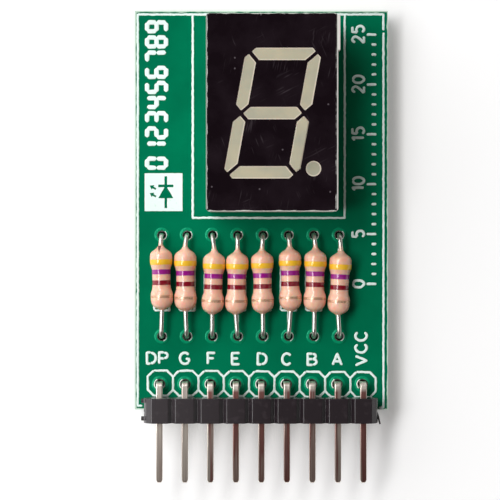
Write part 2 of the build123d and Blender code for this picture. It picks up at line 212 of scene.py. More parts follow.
class DisplayLook(bpy.types.PropertyGroup):
    """The digit's case, face and segments."""
    shell: colour("Shell", "White moulded case", "E2E1DA")
    dust: colour("Dust", "Dust on the case", "CBC6B9")
    face: colour("Face", "Black coat", "130A10")
    cloud: colour("Cloud", "Paler clouds in the coat", "21181E")
    scratch: colour("Scratch", "Fine scratches in the coat", "4A4247")
    speck: colour("Speck", "Pale specks on the coat", "5E565B")
    resin: colour("Resin", "Milky resin of the segments", "C2BA9E")
    point_resin: colour("Point resin", "Greyer resin of the decimal point", "989680")
    resin_cloud: colour("Resin cloud", "Greyer places in the resin", "AEAB96")
    resin_rim: colour("Resin rim", "Resin beside the case's white walls", "F0DFCB")
    potting: colour("Potting", "Cast resin behind the lights", "B7A77C")
    carrier: colour("Carrier", "Laminate under the lights", "8C7F52")
    chip: colour("Light chip", "Diced light chips", "8A5A2C")
    edge: length("Edge", "Rounding of the case's edges", 0.035)
    wear: length("Wear", "How far the coat is worn off along its edges", 0.04)
    bare_rim: length("Bare rim", "White rim that the coat leaves along the case's edge", 0.07)
    rim: length("Rim", "Width of the lighter rim in each segment", 0.15)


class SolderLook(bpy.types.PropertyGroup):
    """The joints on the back."""
    solder: colour("Solder", "Bright solder", "C6C8CA")
    frost: colour("Frost", "Grainy places in the solder", "9EA1A3")
    lump: length("Lump", "Unevenness of the joints", 0.05)
    plug: length("Plug", "How far solder fills a hole", 0.7)
    seed: seed("Which joints took more solder", 11)


class StageLook(bpy.types.PropertyGroup):
    """The floor, light and camera."""
    floor: colour("Floor", "Pale floor", "F2F2F2")
    room_left: colour("Room left", "Bright side of the room", "F6F8FA")
    room_right: colour("Room right", "Dim side of the room and its ceiling", "575250")
    window: share("Window", "How much brighter than its colour the room's bright side is", 2.2)
    distance: length("Distance", "From the camera to the board's front", 190.0)
    view: length("View", "Width of the view at the board's front", 50.15)
    across: length("Across", "Camera's place across the board", -1.13)
    along: length("Along", "Camera's place along the board", -0.41)


# Nodes and materials


def add(tree, kind, inputs=None, **settings):
    """Adds a node: settings are its own fields, and each input is a value, a socket or a node."""
    node = tree.nodes.new(kind)
    for name, value in settings.items():
        setattr(node, name, value)
    for socket, value in (inputs or {}).items():
        if isinstance(value, bpy.types.Node):
            value = value.outputs[0]
        if isinstance(value, bpy.types.NodeSocket):
            tree.links.new(value, node.inputs[socket])
        else:
            node.inputs[socket].default_value = value
    return node


def start_material(name, **values):
    """A new material with one shader: returns it, its tree, its shader and Object coordinates."""
    material = bpy.data.materials.new(name)
    material.use_nodes = True
    tree = material.node_tree
    shader = tree.nodes["Principled BSDF"]
    for socket, value in values.items():
        shader.inputs[socket.replace("_", " ")].default_value = value
    place = add(tree, "ShaderNodeTexCoord").outputs["Object"]
    return material, tree, shader, place


def feed(tree, shader, base, rough=None, height=None, depth_mm=0.01):
    """Gives a shader its colour, and where given its roughness and a relief so many mm deep."""
    tree.links.new(base, shader.inputs["Base Color"])
    if rough is not None:
        tree.links.new(rough.outputs[0], shader.inputs["Roughness"])
    if height is not None:
        bump = add(tree, BUMP, {"Distance": depth_mm * MM, "Height": height})
        tree.links.new(bump.outputs[0], shader.inputs["Normal"])


def normal_axes(tree):
    """The three shares of the direction in which a surface looks."""
    return add(tree, AXES, {0: add(tree, "ShaderNodeNewGeometry").outputs["Normal"]}).outputs


def shown_rays(tree):
    """One for a ray from the eye, or from what mirrors the background or lets it through."""
    rays = add(tree, "ShaderNodeLightPath").outputs
    seen = add(tree, MATH, {0: rays["Is Camera Ray"], 1: rays["Is Glossy Ray"]}, operation="MAXIMUM")
    return add(tree, MATH, {0: seen, 1: rays["Is Transmission Ray"]}, operation="MAXIMUM")


def edge_gap(tree, axes, middle, half):
    """How far a point lies inside the nearest side of an upright box, as a node."""
    gaps = []
    for axis, name in enumerate("XY"):
        offset = add(tree, MATH, {0: axes[name], 1: middle[axis]}, operation="SUBTRACT")
        reach = add(tree, MATH, {0: offset}, operation="ABSOLUTE")
        gaps.append(add(tree, MATH, {0: half[axis], 1: reach}, operation="SUBTRACT"))
    return add(tree, MATH, {0: gaps[0], 1: gaps[1]}, operation="MINIMUM")


def mask_material(look):
    """Glossy green solder mask: a clear deep green film with a faint orange peel, paler over
    copper, with a little dust, and cream laminate where the board was cut."""
    material, tree, shader, place = start_material(
        "solder_mask_gloss", IOR=1.52, Specular_Tint=look.gloss[:])
    axes = add(tree, AXES, {0: place}).outputs
    facing = normal_axes(tree)["Z"]
    film = add(tree, NOISE, {"Vector": place, "Scale": per_mm(6.0), "Detail": 3.0})
    thick = add(tree, RANGE, {0: film, 1: 0.35, 2: 0.7})
    green = add(tree, MIX, {0: thick, 6: look.mask[:], 7: look.mask_deep[:]}, data_type="RGBA").outputs[2]
    in_front = add(tree, MATH, {0: axes["Z"], 1: BOARD_TOP}, operation="SUBTRACT")
    behind = add(tree, MATH, {0: PAD_LEVEL + 0.04 * MM, 1: axes["Z"]}, operation="SUBTRACT")
    raised = add(tree, MATH, {0: in_front, 1: behind}, operation="MAXIMUM")
    copper = add(tree, RANGE, {0: raised, 1: 0.005 * MM, 2: 0.035 * MM})
    green = add(tree, MIX, {0: copper, 6: green, 7: look.copper[:]}, data_type="RGBA").outputs[2]
    cells = add(tree, CELLS, {"Vector": place, "Scale": per_mm(2.4)})
    dot = add(tree, RANGE, {0: cells.outputs["Distance"], 1: 0.035, 2: 0.02})
    chosen = add(tree, RANGE, {0: add(tree, AXES, {0: cells.outputs["Color"]}), 1: 0.72, 2: 0.74})
    dust = add(tree, MATH, {0: dot, 1: chosen}, operation="MULTIPLY")
    green = add(tree, MIX, {0: dust, 6: green, 7: look.speck[:]}, data_type="RGBA").outputs[2]
    # The mask was printed a little to the right of and below the board's middle
    mask_middle = BOARD_MIDDLE + Vector((0.035, -0.03, 0.0)) * MM
    gap = edge_gap(tree, axes, mask_middle, (BOARD_HIGH - BOARD_LOW) / 2)
    ragged = add(tree, NOISE, {"Vector": place, "Scale": per_mm(0.8), "Detail": 2.0})
    margin = add(tree, MATH, {0: ragged, 1: 2 * look.mask_margin}, operation="MULTIPLY")
    past = add(tree, MATH, {0: margin, 1: gap}, operation="SUBTRACT")
    bare = add(tree, RANGE, {0: past, 1: -0.01 * MM, 2: 0.01 * MM})
    green = add(tree, MIX, {0: bare, 6: green, 7: look.margin[:]}, data_type="RGBA").outputs[2]
    steep = add(tree, MATH, {0: facing}, operation="ABSOLUTE")
    upright = add(tree, RANGE, {0: steep, 1: 0.45, 2: 0.2})
    at_edge = add(tree, MATH, {0: gap, 1: look.mask_margin}, operation="LESS_THAN")
    side = add(tree, MATH, {0: upright, 1: at_edge}, operation="MULTIPLY")
    # Real glass fibres are far finer: these are as coarse as they need to be to show
    stretched = add(tree, MAPPING, {"Vector": place, "Scale": (0.2, 0.2, 2.0)})
    glass = add(tree, NOISE, {"Vector": stretched, "Scale": per_mm(0.25), "Detail": 2.0})
    cut = add(tree, MIX, {0: glass, 6: look.laminate[:], 7: linear("A8946A")}, data_type="RGBA").outputs[2]
    base = add(tree, MIX, {0: side, 6: green, 7: cut}, data_type="RGBA").outputs[2]
    peel = add(tree, NOISE, {"Vector": place, "Scale": per_mm(0.7), "Detail": 2.0})
    gloss = add(tree, RANGE, {0: film, 1: 0.3, 2: 0.75, 3: 0.1, 4: 0.14})
    rough = add(tree, MIX, {0: side, 2: gloss, 3: 0.8})
    feed(tree, shader, base, rough, peel, 0.008)
    return material


def barrel_material(name, tin, stain, metallic, roughness):
    """Tinned copper in and beside a drilled hole: bright at the rim and on the pad, and painted near-black
    further down, a painted shade of the deep hole. The pale, matt tin beside the holes is a painted
    highlight, which looks pale from every side and stands for the glint on each hole's rim."""
    material, tree, shader, place = start_material(name, Metallic=metallic, Roughness=roughness)
    level = add(tree, AXES, {0: place}).outputs["Z"]
    depth = add(tree, MATH, {0: BOARD_TOP, 1: level}, operation="SUBTRACT")
    facing = normal_axes(tree)["Z"]
    steep = add(tree, MATH, {0: facing}, operation="ABSOLUTE")
    wall = add(tree, RANGE, {0: steep, 1: 0.8, 2: 0.4})
    # Painted shade: the walls darken toward near-black from 0.02 mm to 0.3 mm below the board's front
    down = add(tree, RANGE, {0: depth, 1: 0.02 * MM, 2: 0.3 * MM})
    shaded_deep = add(tree, MATH, {0: wall, 1: down}, operation="MULTIPLY")
    base = add(tree, MIX, {0: shaded_deep, 6: tin[:], 7: stain[:]}, data_type="RGBA").outputs[2]
    feed(tree, shader, base)
    return material


def ink_material(look):
    """White screen ink: matt, chalky and a little thin in places, so that green shows through."""
    material, tree, shader, place = start_material("white_screen_ink", Roughness=0.6)
    # The grain of real ink is finer: this one is coarse enough to show
    body = add(tree, NOISE, {"Vector": place, "Scale": per_mm(0.3), "Detail": 3.0})
    thin = add(tree, RANGE, {0: body, 1: 0.6, 2: 0.8, 4: 0.35})
    base = add(tree, MIX, {0: thin, 6: look.ink[:], 7: linear("A9D6C2")}, data_type="RGBA").outputs[2]
    feed(tree, shader, base, None, body, 0.006)
    return material


def wire_material(look):
    """Tinned copper wire, drawn: a bright soft metal, smooth, a little duller in places. Lacquer
    creeps up the upper wires and thins out along them."""
    material, tree, shader, place = start_material("tinned_wire_drawn", Metallic=1.0)
    cloud = add(tree, NOISE, {"Vector": place, "Scale": per_mm(0.7), "Detail": 2.0})
    tin = add(tree, MIX, {0: cloud, 6: look.wire[:], 7: linear("CCC7BE")}, data_type="RGBA").outputs[2]
    run = add(tree, "ShaderNodeAttribute", attribute_name="run").outputs["Fac"]
    thinning = add(tree, RANGE, {0: run, 1: WIRE_EMBED, 2: WIRE_EMBED + look.creep, 3: 0.9, 4: 0.0})
    along = add(tree, AXES, {0: place}).outputs["Y"]
    upper = add(tree, MATH, {0: along, 1: RESISTOR_MIDDLE_Y}, operation="GREATER_THAN")
    drawn = add(tree, MATH, {0: run, 1: 0.0}, operation="GREATER_THAN")
    coat = add(tree, MATH, {0: thinning, 1: upper}, operation="MULTIPLY")
    coat = add(tree, MATH, {0: coat, 1: drawn}, operation="MULTIPLY")
    base = add(tree, MIX, {0: coat, 6: tin, 7: look.lacquer[:]}, data_type="RGBA").outputs[2]
    bare = add(tree, MATH, {0: 1.0, 1: coat}, operation="SUBTRACT")
    tree.links.new(bare.outputs[0], shader.inputs["Metallic"])
    feed(tree, shader, base, add(tree, RANGE, {0: cloud, 1: 0.3, 2: 0.75, 3: 0.26, 4: 0.38}))
    return material


def pin_material(look):
    """Tin over drawn brass: lengthwise streaks of bright tin and of brown where it is thin. The brown
    spreads over more of the pins to the right, a painted reflection of the room's dim right side. The edges
    and the bends keep their tin."""
    material, tree, shader, place = start_material("tinned_brass_drawn", Metallic=1.0)
    drawn = add(tree, MAPPING, {"Vector": place, "Scale": (1.0, 0.03, 0.3)})
    streak = add(tree, NOISE, {"Vector": drawn, "Scale": per_mm(0.4), "Detail": 3.0})
    axes = add(tree, AXES, {0: place}).outputs
    # Painted reflection: more brown toward the right-hand pins, which mirror the room's dim side
    dim_reflection_right = add(tree, RANGE, {0: axes["X"], 1: COLUMNS[1], 2: COLUMNS[3], 3: -0.06, 4: 0.14})
    bare = add(tree, MATH, {0: streak, 1: dim_reflection_right}, operation="ADD")
    thin = add(tree, RANGE, {0: bare, 1: 0.42, 2: 0.66})
    normal = normal_axes(tree)
    sideways = add(tree, MATH, {0: normal["X"]}, operation="ABSOLUTE")
    upward = add(tree, MATH, {0: normal["Z"]}, operation="ABSOLUTE")
    squarely = add(tree, MATH, {0: sideways, 1: upward}, operation="MAXIMUM")
    flat = add(tree, RANGE, {0: squarely, 1: 0.82, 2: 0.96})
    straight = add(tree, RANGE, {0: axes["Y"], 1: HEADER_Y - 0.3 * MM, 2: HEADER_Y - 0.7 * MM})
    open_face = add(tree, MATH, {0: flat, 1: straight}, operation="MULTIPLY")
    brown = add(tree, MATH, {0: thin, 1: open_face}, operation="MULTIPLY")
    base = add(tree, MIX, {0: brown, 6: look.tin[:], 7: look.tarnish[:]}, data_type="RGBA").outputs[2]
    feed(tree, shader, base, add(tree, RANGE, {0: streak, 1: 0.3, 2: 0.7, 3: 0.3, 4: 0.42}))
    return material


def solder_material(look):
    """Bright tin solder, frozen from liquid: smooth and mirror-like with faint grainy frost."""
    material, tree, shader, place = start_material("tin_solder_bright", Metallic=1.0)
    # Real solder has finer grains: these are coarse enough to show
    grains = add(tree, NOISE, {"Vector": place, "Scale": per_mm(0.18), "Detail": 4.0})
    frost = add(tree, RANGE, {0: grains, 1: 0.4, 2: 0.75})
    base = add(tree, MIX, {0: frost, 6: look.solder[:], 7: look.frost[:]}, data_type="RGBA").outputs[2]
    feed(tree, shader, base, add(tree, RANGE, {0: grains, 1: 0.35, 2: 0.8, 3: 0.16, 4: 0.4}), grains)
    return material


def strip_material(look):
    """Black nylon, moulded: near-black satin with a fine eroded texture and light scuffs, and a pale film
    that thickens toward the left end, a painted reflection of the room's bright left side."""
    material, tree, shader, place = start_material("black_nylon_moulded", IOR=1.53)
    scuffs = add(tree, NOISE, {"Vector": place, "Scale": per_mm(0.8), "Detail": 5.0})
    worn = add(tree, RANGE, {0: scuffs, 1: 0.55, 2: 0.8})
    black = add(tree, MIX, {0: worn, 6: look.plastic[:], 7: look.worn[:]}, data_type="RGBA").outputs[2]
    from_end = add(tree, MATH, {0: add(tree, AXES, {0: place}), 1: STRIP_LOW.x}, operation="SUBTRACT")
    # Painted reflection: the strip turns paler over its first five pins toward the left end, as it mirrors
    # the room's bright left side
    sheen_run, most_sheen = 5 * PITCH, 0.13
    film = add(tree, RANGE, {0: from_end, 1: 0.0, 2: sheen_run, 3: most_sheen, 4: 0.0})
    black = add(tree, MIX, {0: film, 6: black, 7: look.snapped[:]}, data_type="RGBA").outputs[2]
    near_end = add(tree, MATH, {0: from_end, 1: 0.06 * MM, 2: 0.07 * MM}, operation="COMPARE")
    whitened = add(tree, MATH, {0: near_end, 1: scuffs}, operation="MULTIPLY")
    base = add(tree, MIX, {0: whitened, 6: black, 7: look.snapped[:]}, data_type="RGBA").outputs[2]
    # The mould's own texture is finer: this one is about a pixel of the render, so that it shows
    texture = add(tree, NOISE, {"Vector": place, "Scale": per_mm(0.1), "Detail": 3.0})
    rough = add(tree, RANGE, {0: texture, 1: 0.3, 2: 0.8, 3: 0.18, 4: 0.28})
    feed(tree, shader, base, rough, texture, 0.004)
    return material


def lacquer_material(look, chipped_end):
    """Dipped resistor lacquer: glossy peach, a little translucent, mottled, with one chip."""
    material, tree, shader, place = start_material(
        "peach_lacquer_gloss", IOR=1.6, Subsurface_Weight=0.45, Subsurface_Scale=0.7 * MM)
    mottle = add(tree, NOISE, {"Vector": place, "Scale": per_mm(0.6), "Detail": 3.0})
    deep = add(tree, RANGE, {0: mottle, 1: 0.4, 2: 0.75})
    peach = add(tree, MIX, {0: deep, 6: look.lacquer[:], 7: look.lacquer_deep[:]},
                data_type="RGBA").outputs[2]
    # The chip is a wedge that narrows away from the body's end
    corner = chipped_end + Vector((-0.12, 0.0, 0.0)) * MM
    from_corner = add(tree, VECTOR_MATH, {0: place, 1: corner}, operation="SUBTRACT")
    near = add(tree, AXES, {0: from_corner}).outputs
    across = add(tree, MATH, {0: near["X"]}, operation="ABSOLUTE")
    width = add(tree, MATH, {0: near["Y"], 1: 0.24, 2: 0.2 * MM}, operation="MULTIPLY_ADD")
    inside = add(tree, MATH, {0: width, 1: across}, operation="SUBTRACT")
    chip = add(tree, RANGE, {0: inside, 1: 0.0, 2: 0.03 * MM})
    base = add(tree, MIX, {0: chip, 6: peach, 7: look.chip[:]}, data_type="RGBA").outputs[2]
    skin = add(tree, NOISE, {"Vector": place, "Scale": per_mm(0.45), "Detail": 1.0})
    rough = add(tree, RANGE, {0: mottle, 1: 0.3, 2: 0.8, 3: 0.16, 4: 0.24})
    feed(tree, shader, base, rough, skin, 0.008)
    return material


def paint_material(name, base, metallic):
    """One colour band: glossy paint laid on by a wheel, a little uneven in depth. Gold holds flakes
    of metal, so it turns dark or bright with the light and nearly matches the lacquer."""
    material, tree, shader, place = start_material(name, IOR=1.6, Metallic=metallic)
    depth = add(tree, NOISE, {"Vector": place, "Scale": per_mm(0.5), "Detail": 2.0})
    thin = add(tree, RANGE, {0: depth, 1: 0.45, 2: 0.8})
    paleness, smoothest, flaky, uneven = 0.05, 0.09, 0.4, 0.05
    pale = [channel + (1 - channel) * paleness for channel in base[:3]] + [1.0]
    paint = add(tree, MIX, {0: thin, 6: base[:], 7: pale}, data_type="RGBA").outputs[2]
    dull = smoothest + flaky * metallic
    feed(tree, shader, paint, add(tree, RANGE, {0: depth, 1: 0.3, 2: 0.8, 3: dull, 4: dull + uneven}))
    return material


def shell_material(look):
    """White moulded plastic: opaque, satin, faintly dusty, its front rim half covered by the coat."""
    material, tree, shader, place = start_material("white_plastic_moulded", IOR=1.55)
    dusty = add(tree, NOISE, {"Vector": place, "Scale": per_mm(1.2), "Detail": 4.0})
    dust = add(tree, RANGE, {0: dusty, 1: 0.5, 2: 0.8, 4: 0.5})
    white = add(tree, MIX, {0: dust, 6: look.shell[:], 7: look.dust[:]}, data_type="RGBA").outputs[2]
    axes = add(tree, AXES, {0: place}).outputs
    low, high = corners("display_shell")
    # The coat lies a little to the left of the case's middle
    middle = Vector((DISPLAY_MIDDLE.x - 0.03 * MM, (low.y + high.y) / 2))
    gap = edge_gap(tree, axes, middle, (DISPLAY_HALF_WIDTH, (high.y - low.y) / 2))
    covered = add(tree, RANGE, {0: gap, 1: look.bare_rim - 0.02 * MM, 2: look.bare_rim + 0.02 * MM})
    front = add(tree, MATH, {0: axes["Z"], 1: high.z - 0.02 * MM}, operation="GREATER_THAN")
    coat = add(tree, MATH, {0: covered, 1: front}, operation="MULTIPLY")
    base = add(tree, MIX, {0: coat, 6: white, 7: look.face[:]}, data_type="RGBA").outputs[2]
    # As on the strip, the mould's texture is drawn coarse enough to show
    texture = add(tree, NOISE, {"Vector": place, "Scale": per_mm(0.1), "Detail": 2.0})
    rough = add(tree, RANGE, {0: texture, 1: 0.3, 2: 0.8, 3: 0.38, 4: 0.5})
    feed(tree, shader, base, rough, texture, 0.005)
    return material


def face_material(look):
    """Black printed coat: satin near-black with a brown cast, hair scratches and pale specks, and
    worn off in places along its edges, so that the white case shows."""
    material, tree, shader, place = start_material("black_coat_satin", IOR=1.45, Specular_IOR_Level=0.25)
    axes = add(tree, AXES, {0: place}).outputs
    clouds = add(tree, NOISE, {"Vector": place, "Scale": per_mm(3.0), "Detail": 4.0})
    cloud = add(tree, RANGE, {0: clouds, 1: 0.4, 2: 0.75})
    black = add(tree, MIX, {0: cloud, 6: look.face[:], 7: look.cloud[:]}, data_type="RGBA").outputs[2]
    # Three sets of scratches, by their turn in degrees and the spread of their patches in mm. Real
    # ones are hair-thin: these are wide enough to show
    scratches = 0.0
    for turn, spread in ((22, 2.2), (-64, 3.1), (-12, 2.7)):
        turned = add(tree, MAPPING, {"Vector": place, "Rotation": (0, 0, math.radians(turn)),
                                     "Scale": (1.0, 14.0, 1.0)}, vector_type="TEXTURE")
        hair = add(tree, NOISE, {"Vector": turned, "Scale": per_mm(0.14), "Detail": 1.0})
        patch = add(tree, NOISE, {"Vector": place, "Scale": per_mm(spread), "Detail": 1.0})
        line = add(tree, RANGE, {0: hair, 1: 0.62, 2: 0.8})
        where = add(tree, RANGE, {0: patch, 1: 0.56, 2: 0.68})
        found = add(tree, MATH, {0: line, 1: where}, operation="MULTIPLY")
        scratches = add(tree, MATH, {0: scratches, 1: found}, operation="MAXIMUM")
    faint = add(tree, MATH, {0: scratches, 1: 0.55}, operation="MULTIPLY")
    black = add(tree, MIX, {0: faint, 6: black, 7: look.scratch[:]}, data_type="RGBA").outputs[2]
    cells = add(tree, CELLS, {"Vector": place, "Scale": per_mm(2.2)}, voronoi_dimensions="2D")
    dot = add(tree, RANGE, {0: cells.outputs["Distance"], 1: 0.05, 2: 0.02})
    # More specks lie on the left of the face than on its right
    leftness = add(tree, RANGE, {0: axes["X"], 1: DISPLAY_LOW.x, 2: DISPLAY_MIDDLE.x, 3: 0.12, 4: 0.0})
    lot = add(tree, AXES, {0: cells.outputs["Color"]})
    draw = add(tree, MATH, {0: lot, 1: leftness}, operation="ADD")
    chosen = add(tree, RANGE, {0: draw, 1: 0.84, 2: 0.86})
    speck = add(tree, MATH, {0: dot, 1: chosen}, operation="MULTIPLY")
    black = add(tree, MIX, {0: speck, 6: black, 7: look.speck[:]}, data_type="RGBA").outputs[2]
    low, high = corners("display_face_ink")
    gap = edge_gap(tree, axes, (low + high) / 2, (high - low) / 2)
    ragged = add(tree, NOISE, {"Vector": place, "Scale": per_mm(1.1), "Detail": 4.0})
    worn = add(tree, RANGE, {0: ragged, 1: 0.45, 2: 0.75, 3: 0.0, 4: 2 * look.wear})
    past = add(tree, MATH, {0: worn, 1: gap}, operation="SUBTRACT")
    bare = add(tree, RANGE, {0: past, 1: -0.01 * MM, 2: 0.01 * MM})
    base = add(tree, MIX, {0: bare, 6: black, 7: look.shell[:]}, data_type="RGBA").outputs[2]
    rough = add(tree, RANGE, {0: clouds, 1: 0.3, 2: 0.8, 3: 0.1, 4: 0.14})
    feed(tree, shader, base, rough, scratches, 0.003)
    return material


def resin_material(name, look, milk):
    """Milky cast resin: greyish cream, diffusing, lighter beside the case's white walls."""
    material, tree, shader, place = start_material(
        name, IOR=1.5, Subsurface_Weight=0.08, Subsurface_Scale=0.5 * MM)
    clouds = add(tree, NOISE, {"Vector": place, "Scale": per_mm(2.6), "Detail": 3.0})
    cloud = add(tree, RANGE, {0: clouds, 1: 0.35, 2: 0.7})
    milk = add(tree, MIX, {0: cloud, 6: milk[:], 7: look.resin_cloud[:]}, data_type="RGBA").outputs[2]
    rim = add(tree, "ShaderNodeAttribute", attribute_name="rim").outputs["Fac"]
    base = add(tree, MIX, {0: rim, 6: milk, 7: look.resin_rim[:]}, data_type="RGBA").outputs[2]
    texture = add(tree, NOISE, {"Vector": place, "Scale": per_mm(0.2), "Detail": 3.0})
    rough = add(tree, RANGE, {0: clouds, 1: 0.3, 2: 0.8, 3: 0.38, 4: 0.5})
    feed(tree, shader, base, rough, texture, 0.004)
    return material


def inner_material(name, first, second):
    """Cast or laminated resin inside the display: cloudy and satin."""
    material, tree, shader, place = start_material(name, Roughness=0.4)
    cloud = add(tree, NOISE, {"Vector": place, "Scale": per_mm(0.8), "Detail": 4.0})
    feed(tree, shader, add(tree, MIX, {0: cloud, 6: first[:], 7: second[:]}, data_type="RGBA").outputs[2])
    return material


def dress(piece, material):
    """Gives a piece its only finish."""
    piece.data.materials.clear()
    piece.data.materials.append(material)


# Meshes and curves


def place_object(name, data):
    """A new object in the scene."""
    piece = bpy.data.objects.new(name, data)
    bpy.context.scene.collection.objects.link(piece)
    return piece


def keep_piece(piece, slot, *nodes):
    """Makes a finished piece ride on the object and stand for its nodes."""
    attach(piece, "root")
    if nodes:
        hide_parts(*nodes)


def path_object(name, paths, rounded=()):
    """A curve with one open spline a path; paths whose number is in rounded run smoothly."""
    curve = bpy.data.curves.new(name, "CURVE")
    curve.dimensions = "3D"
    curve.resolution_u = 10
    for number, path in enumerate(paths):
        smooth = number in rounded
        spline = curve.splines.new("BEZIER" if smooth else "POLY")
        points = spline.bezier_points if smooth else spline.points
        points.add(len(path) - 1)
        for point, place in zip(points, path):
            point.co = place if smooth else (*place, 1.0)
            if smooth:
                point.handle_left_type = point.handle_right_type = "AUTO"
    return place_object(name, curve)


def start_tree(name, sizes, counts=()):
    """A Geometry Nodes tree with a geometry input, named sizes and counts, a material and one output."""
    tree = bpy.data.node_groups.new(name, "GeometryNodeTree")
    tree.interface.new_socket("Geometry", in_out="INPUT", socket_type="NodeSocketGeometry")
    for size in sizes:
        tree.interface.new_socket(size, in_out="INPUT", socket_type="NodeSocketFloat")
    for count in counts:
        tree.interface.new_socket(count, in_out="INPUT", socket_type="NodeSocketInt")
    tree.interface.new_socket("Material", in_out="INPUT", socket_type="NodeSocketMaterial")
    tree.interface.new_socket("Geometry", in_out="OUTPUT", socket_type="NodeSocketGeometry")
    return tree, tree.nodes.new("NodeGroupInput").outputs


def end_tree(tree, mesh, inputs, smooth=True):
    """Shades, realizes and finishes what a tree has made."""
    shaded = add(tree, "GeometryNodeSetShadeSmooth", {"Geometry": mesh, "Shade Smooth": smooth})
    real = add(tree, "GeometryNodeRealizeInstances", {"Geometry": shaded})
    done = add(tree, "GeometryNodeSetMaterial", {"Geometry": real, "Material": inputs["Material"]})
    add(tree, "NodeGroupOutput", {0: done})
    return tree


def grow(source, tree, sizes, material):
    """Runs a tree on a curve and returns the result as a plain mesh object of the same name."""
    modifier = source.modifiers.new(tree.name, "NODES")
    modifier.node_group = tree
    values = dict(sizes, Material=material)
    for item in tree.interface.items_tree:
        if item.in_out == "INPUT" and item.name in values:
            modifier[item.identifier] = values[item.name]
    graph = bpy.context.evaluated_depsgraph_get()
    mesh = bpy.data.meshes.new_from_object(source.evaluated_get(graph), depsgraph=graph)
    if not mesh.polygons:
        raise RuntimeError(f"{tree.name} made nothing of {source.name}")
    name, curve = source.name, source.data
    source.modifiers.remove(modifier)
    bpy.data.objects.remove(source)
    bpy.data.curves.remove(curve)
    mesh.name = name
    return place_object(name, mesh)


def wander(tree, place, size, depth):
    """A vector of noise, centred on zero, of a feature size and a depth."""
    fine = add(tree, MATH, {0: 1.0, 1: size}, operation="DIVIDE")
    noise = add(tree, NOISE, {"Vector": place, "Scale": fine, "Detail": 2.0}).outputs["Color"]
    centred = add(tree, VECTOR_MATH, {0: noise, 1: (0.5, 0.5, 0.5)}, operation="SUBTRACT")
    return add(tree, VECTOR_MATH, {0: centred, "Scale": depth}, operation="SCALE")


def stroke_tree():
    """Ink laid by a screen along paths: a low rounded bead with round ends and ragged edges."""
    tree, inputs = start_tree("Ink strokes", ["Width", "Height", "Ragged", "Grain"], ["Seed"])
    # One step is a share of the width, and a little more than one keeps some width at the ends
    step_share, end_width = 0.22, 1.02
    step = add(tree, MATH, {0: inputs["Width"], 1: step_share}, operation="MULTIPLY")
    fine = add(tree, "GeometryNodeResampleCurve",
               {"Curve": inputs["Geometry"], "Length": step}, mode="LENGTH")
    run = add(tree, "GeometryNodeSplineParameter").outputs["Length"]
    whole = add(tree, "GeometryNodeSplineLength")
    rest = add(tree, MATH, {0: whole, 1: run}, operation="SUBTRACT")
    from_end = add(tree, MATH, {0: rest, 1: run}, operation="MINIMUM")
    half = add(tree, MATH, {0: inputs["Width"], 1: 0.5}, operation="MULTIPLY")
    reach = add(tree, MATH, {0: from_end, 1: half}, operation="DIVIDE")
    short = add(tree, MATH, {0: 1.0, 1: reach}, operation="SUBTRACT", use_clamp=True)
    square = add(tree, MATH, {0: short, 1: 2.0}, operation="POWER")
    left = add(tree, MATH, {0: end_width, 1: square}, operation="SUBTRACT")
    cap = add(tree, MATH, {0: left}, operation="SQRT")
    width = add(tree, MATH, {0: cap, 1: inputs["Width"]}, operation="MULTIPLY")
    profile = add(tree, "GeometryNodeCurvePrimitiveCircle", {"Resolution": 10, "Radius": 0.5})
    bead = add(tree, "GeometryNodeCurveToMesh",
               {"Curve": fine, "Profile Curve": profile, "Scale": width, "Fill Caps": True})
    spot = add(tree, "GeometryNodeInputPosition")
    seeded = add(tree, VECTOR_MATH, {0: spot, 1: inputs["Seed"]}, operation="ADD")
    edge = wander(tree, seeded, inputs["Grain"], inputs["Ragged"])
    ragged = add(tree, "GeometryNodeSetPosition", {"Geometry": bead, "Offset": edge})
    axes = add(tree, AXES, {0: spot}).outputs
    above = add(tree, MATH, {0: axes["Z"], 1: BOARD_TOP}, operation="SUBTRACT")
    above = add(tree, MATH, {0: above, 1: 0.0}, operation="MAXIMUM")
    low = add(tree, MATH, {0: inputs["Height"], 1: half}, operation="DIVIDE")
    level = add(tree, MATH, {0: above, 1: low, 2: BOARD_TOP}, operation="MULTIPLY_ADD")
    flat = add(tree, "ShaderNodeCombineXYZ", {"X": axes["X"], "Y": axes["Y"], "Z": level})
    pressed = add(tree, "GeometryNodeSetPosition", {"Geometry": ragged, "Position": flat})
    return end_tree(tree, pressed, inputs)


def field_tree():
    """A filled field of ink with ragged edges: paths inside other paths stay open."""
    tree, inputs = start_tree("Ink fields", ["Height", "Ragged", "Grain", "Step"])
    fine = add(tree, "GeometryNodeResampleCurve",
               {"Curve": inputs["Geometry"], "Length": inputs["Step"]}, mode="LENGTH")
    spot = add(tree, "GeometryNodeInputPosition")
    edge = wander(tree, spot, inputs["Grain"], inputs["Ragged"])
    level = add(tree, VECTOR_MATH, {0: edge, 1: (1.0, 1.0, 0.0)}, operation="MULTIPLY")
    ragged = add(tree, "GeometryNodeSetPosition", {"Geometry": fine, "Offset": level})
    fill = add(tree, "GeometryNodeFillCurve", {"Curve": ragged}, mode="NGONS")
    up = add(tree, "ShaderNodeCombineXYZ", {"Z": inputs["Height"]})
    raised = add(tree, "GeometryNodeExtrudeMesh",
                 {"Mesh": fill, "Offset": up, "Individual": False}, mode="FACES")
    placed = add(tree, "GeometryNodeSetPosition", {"Geometry": raised, "Offset": (0.0, 0.0, BOARD_TOP)})
    return end_tree(tree, placed, inputs, smooth=False)


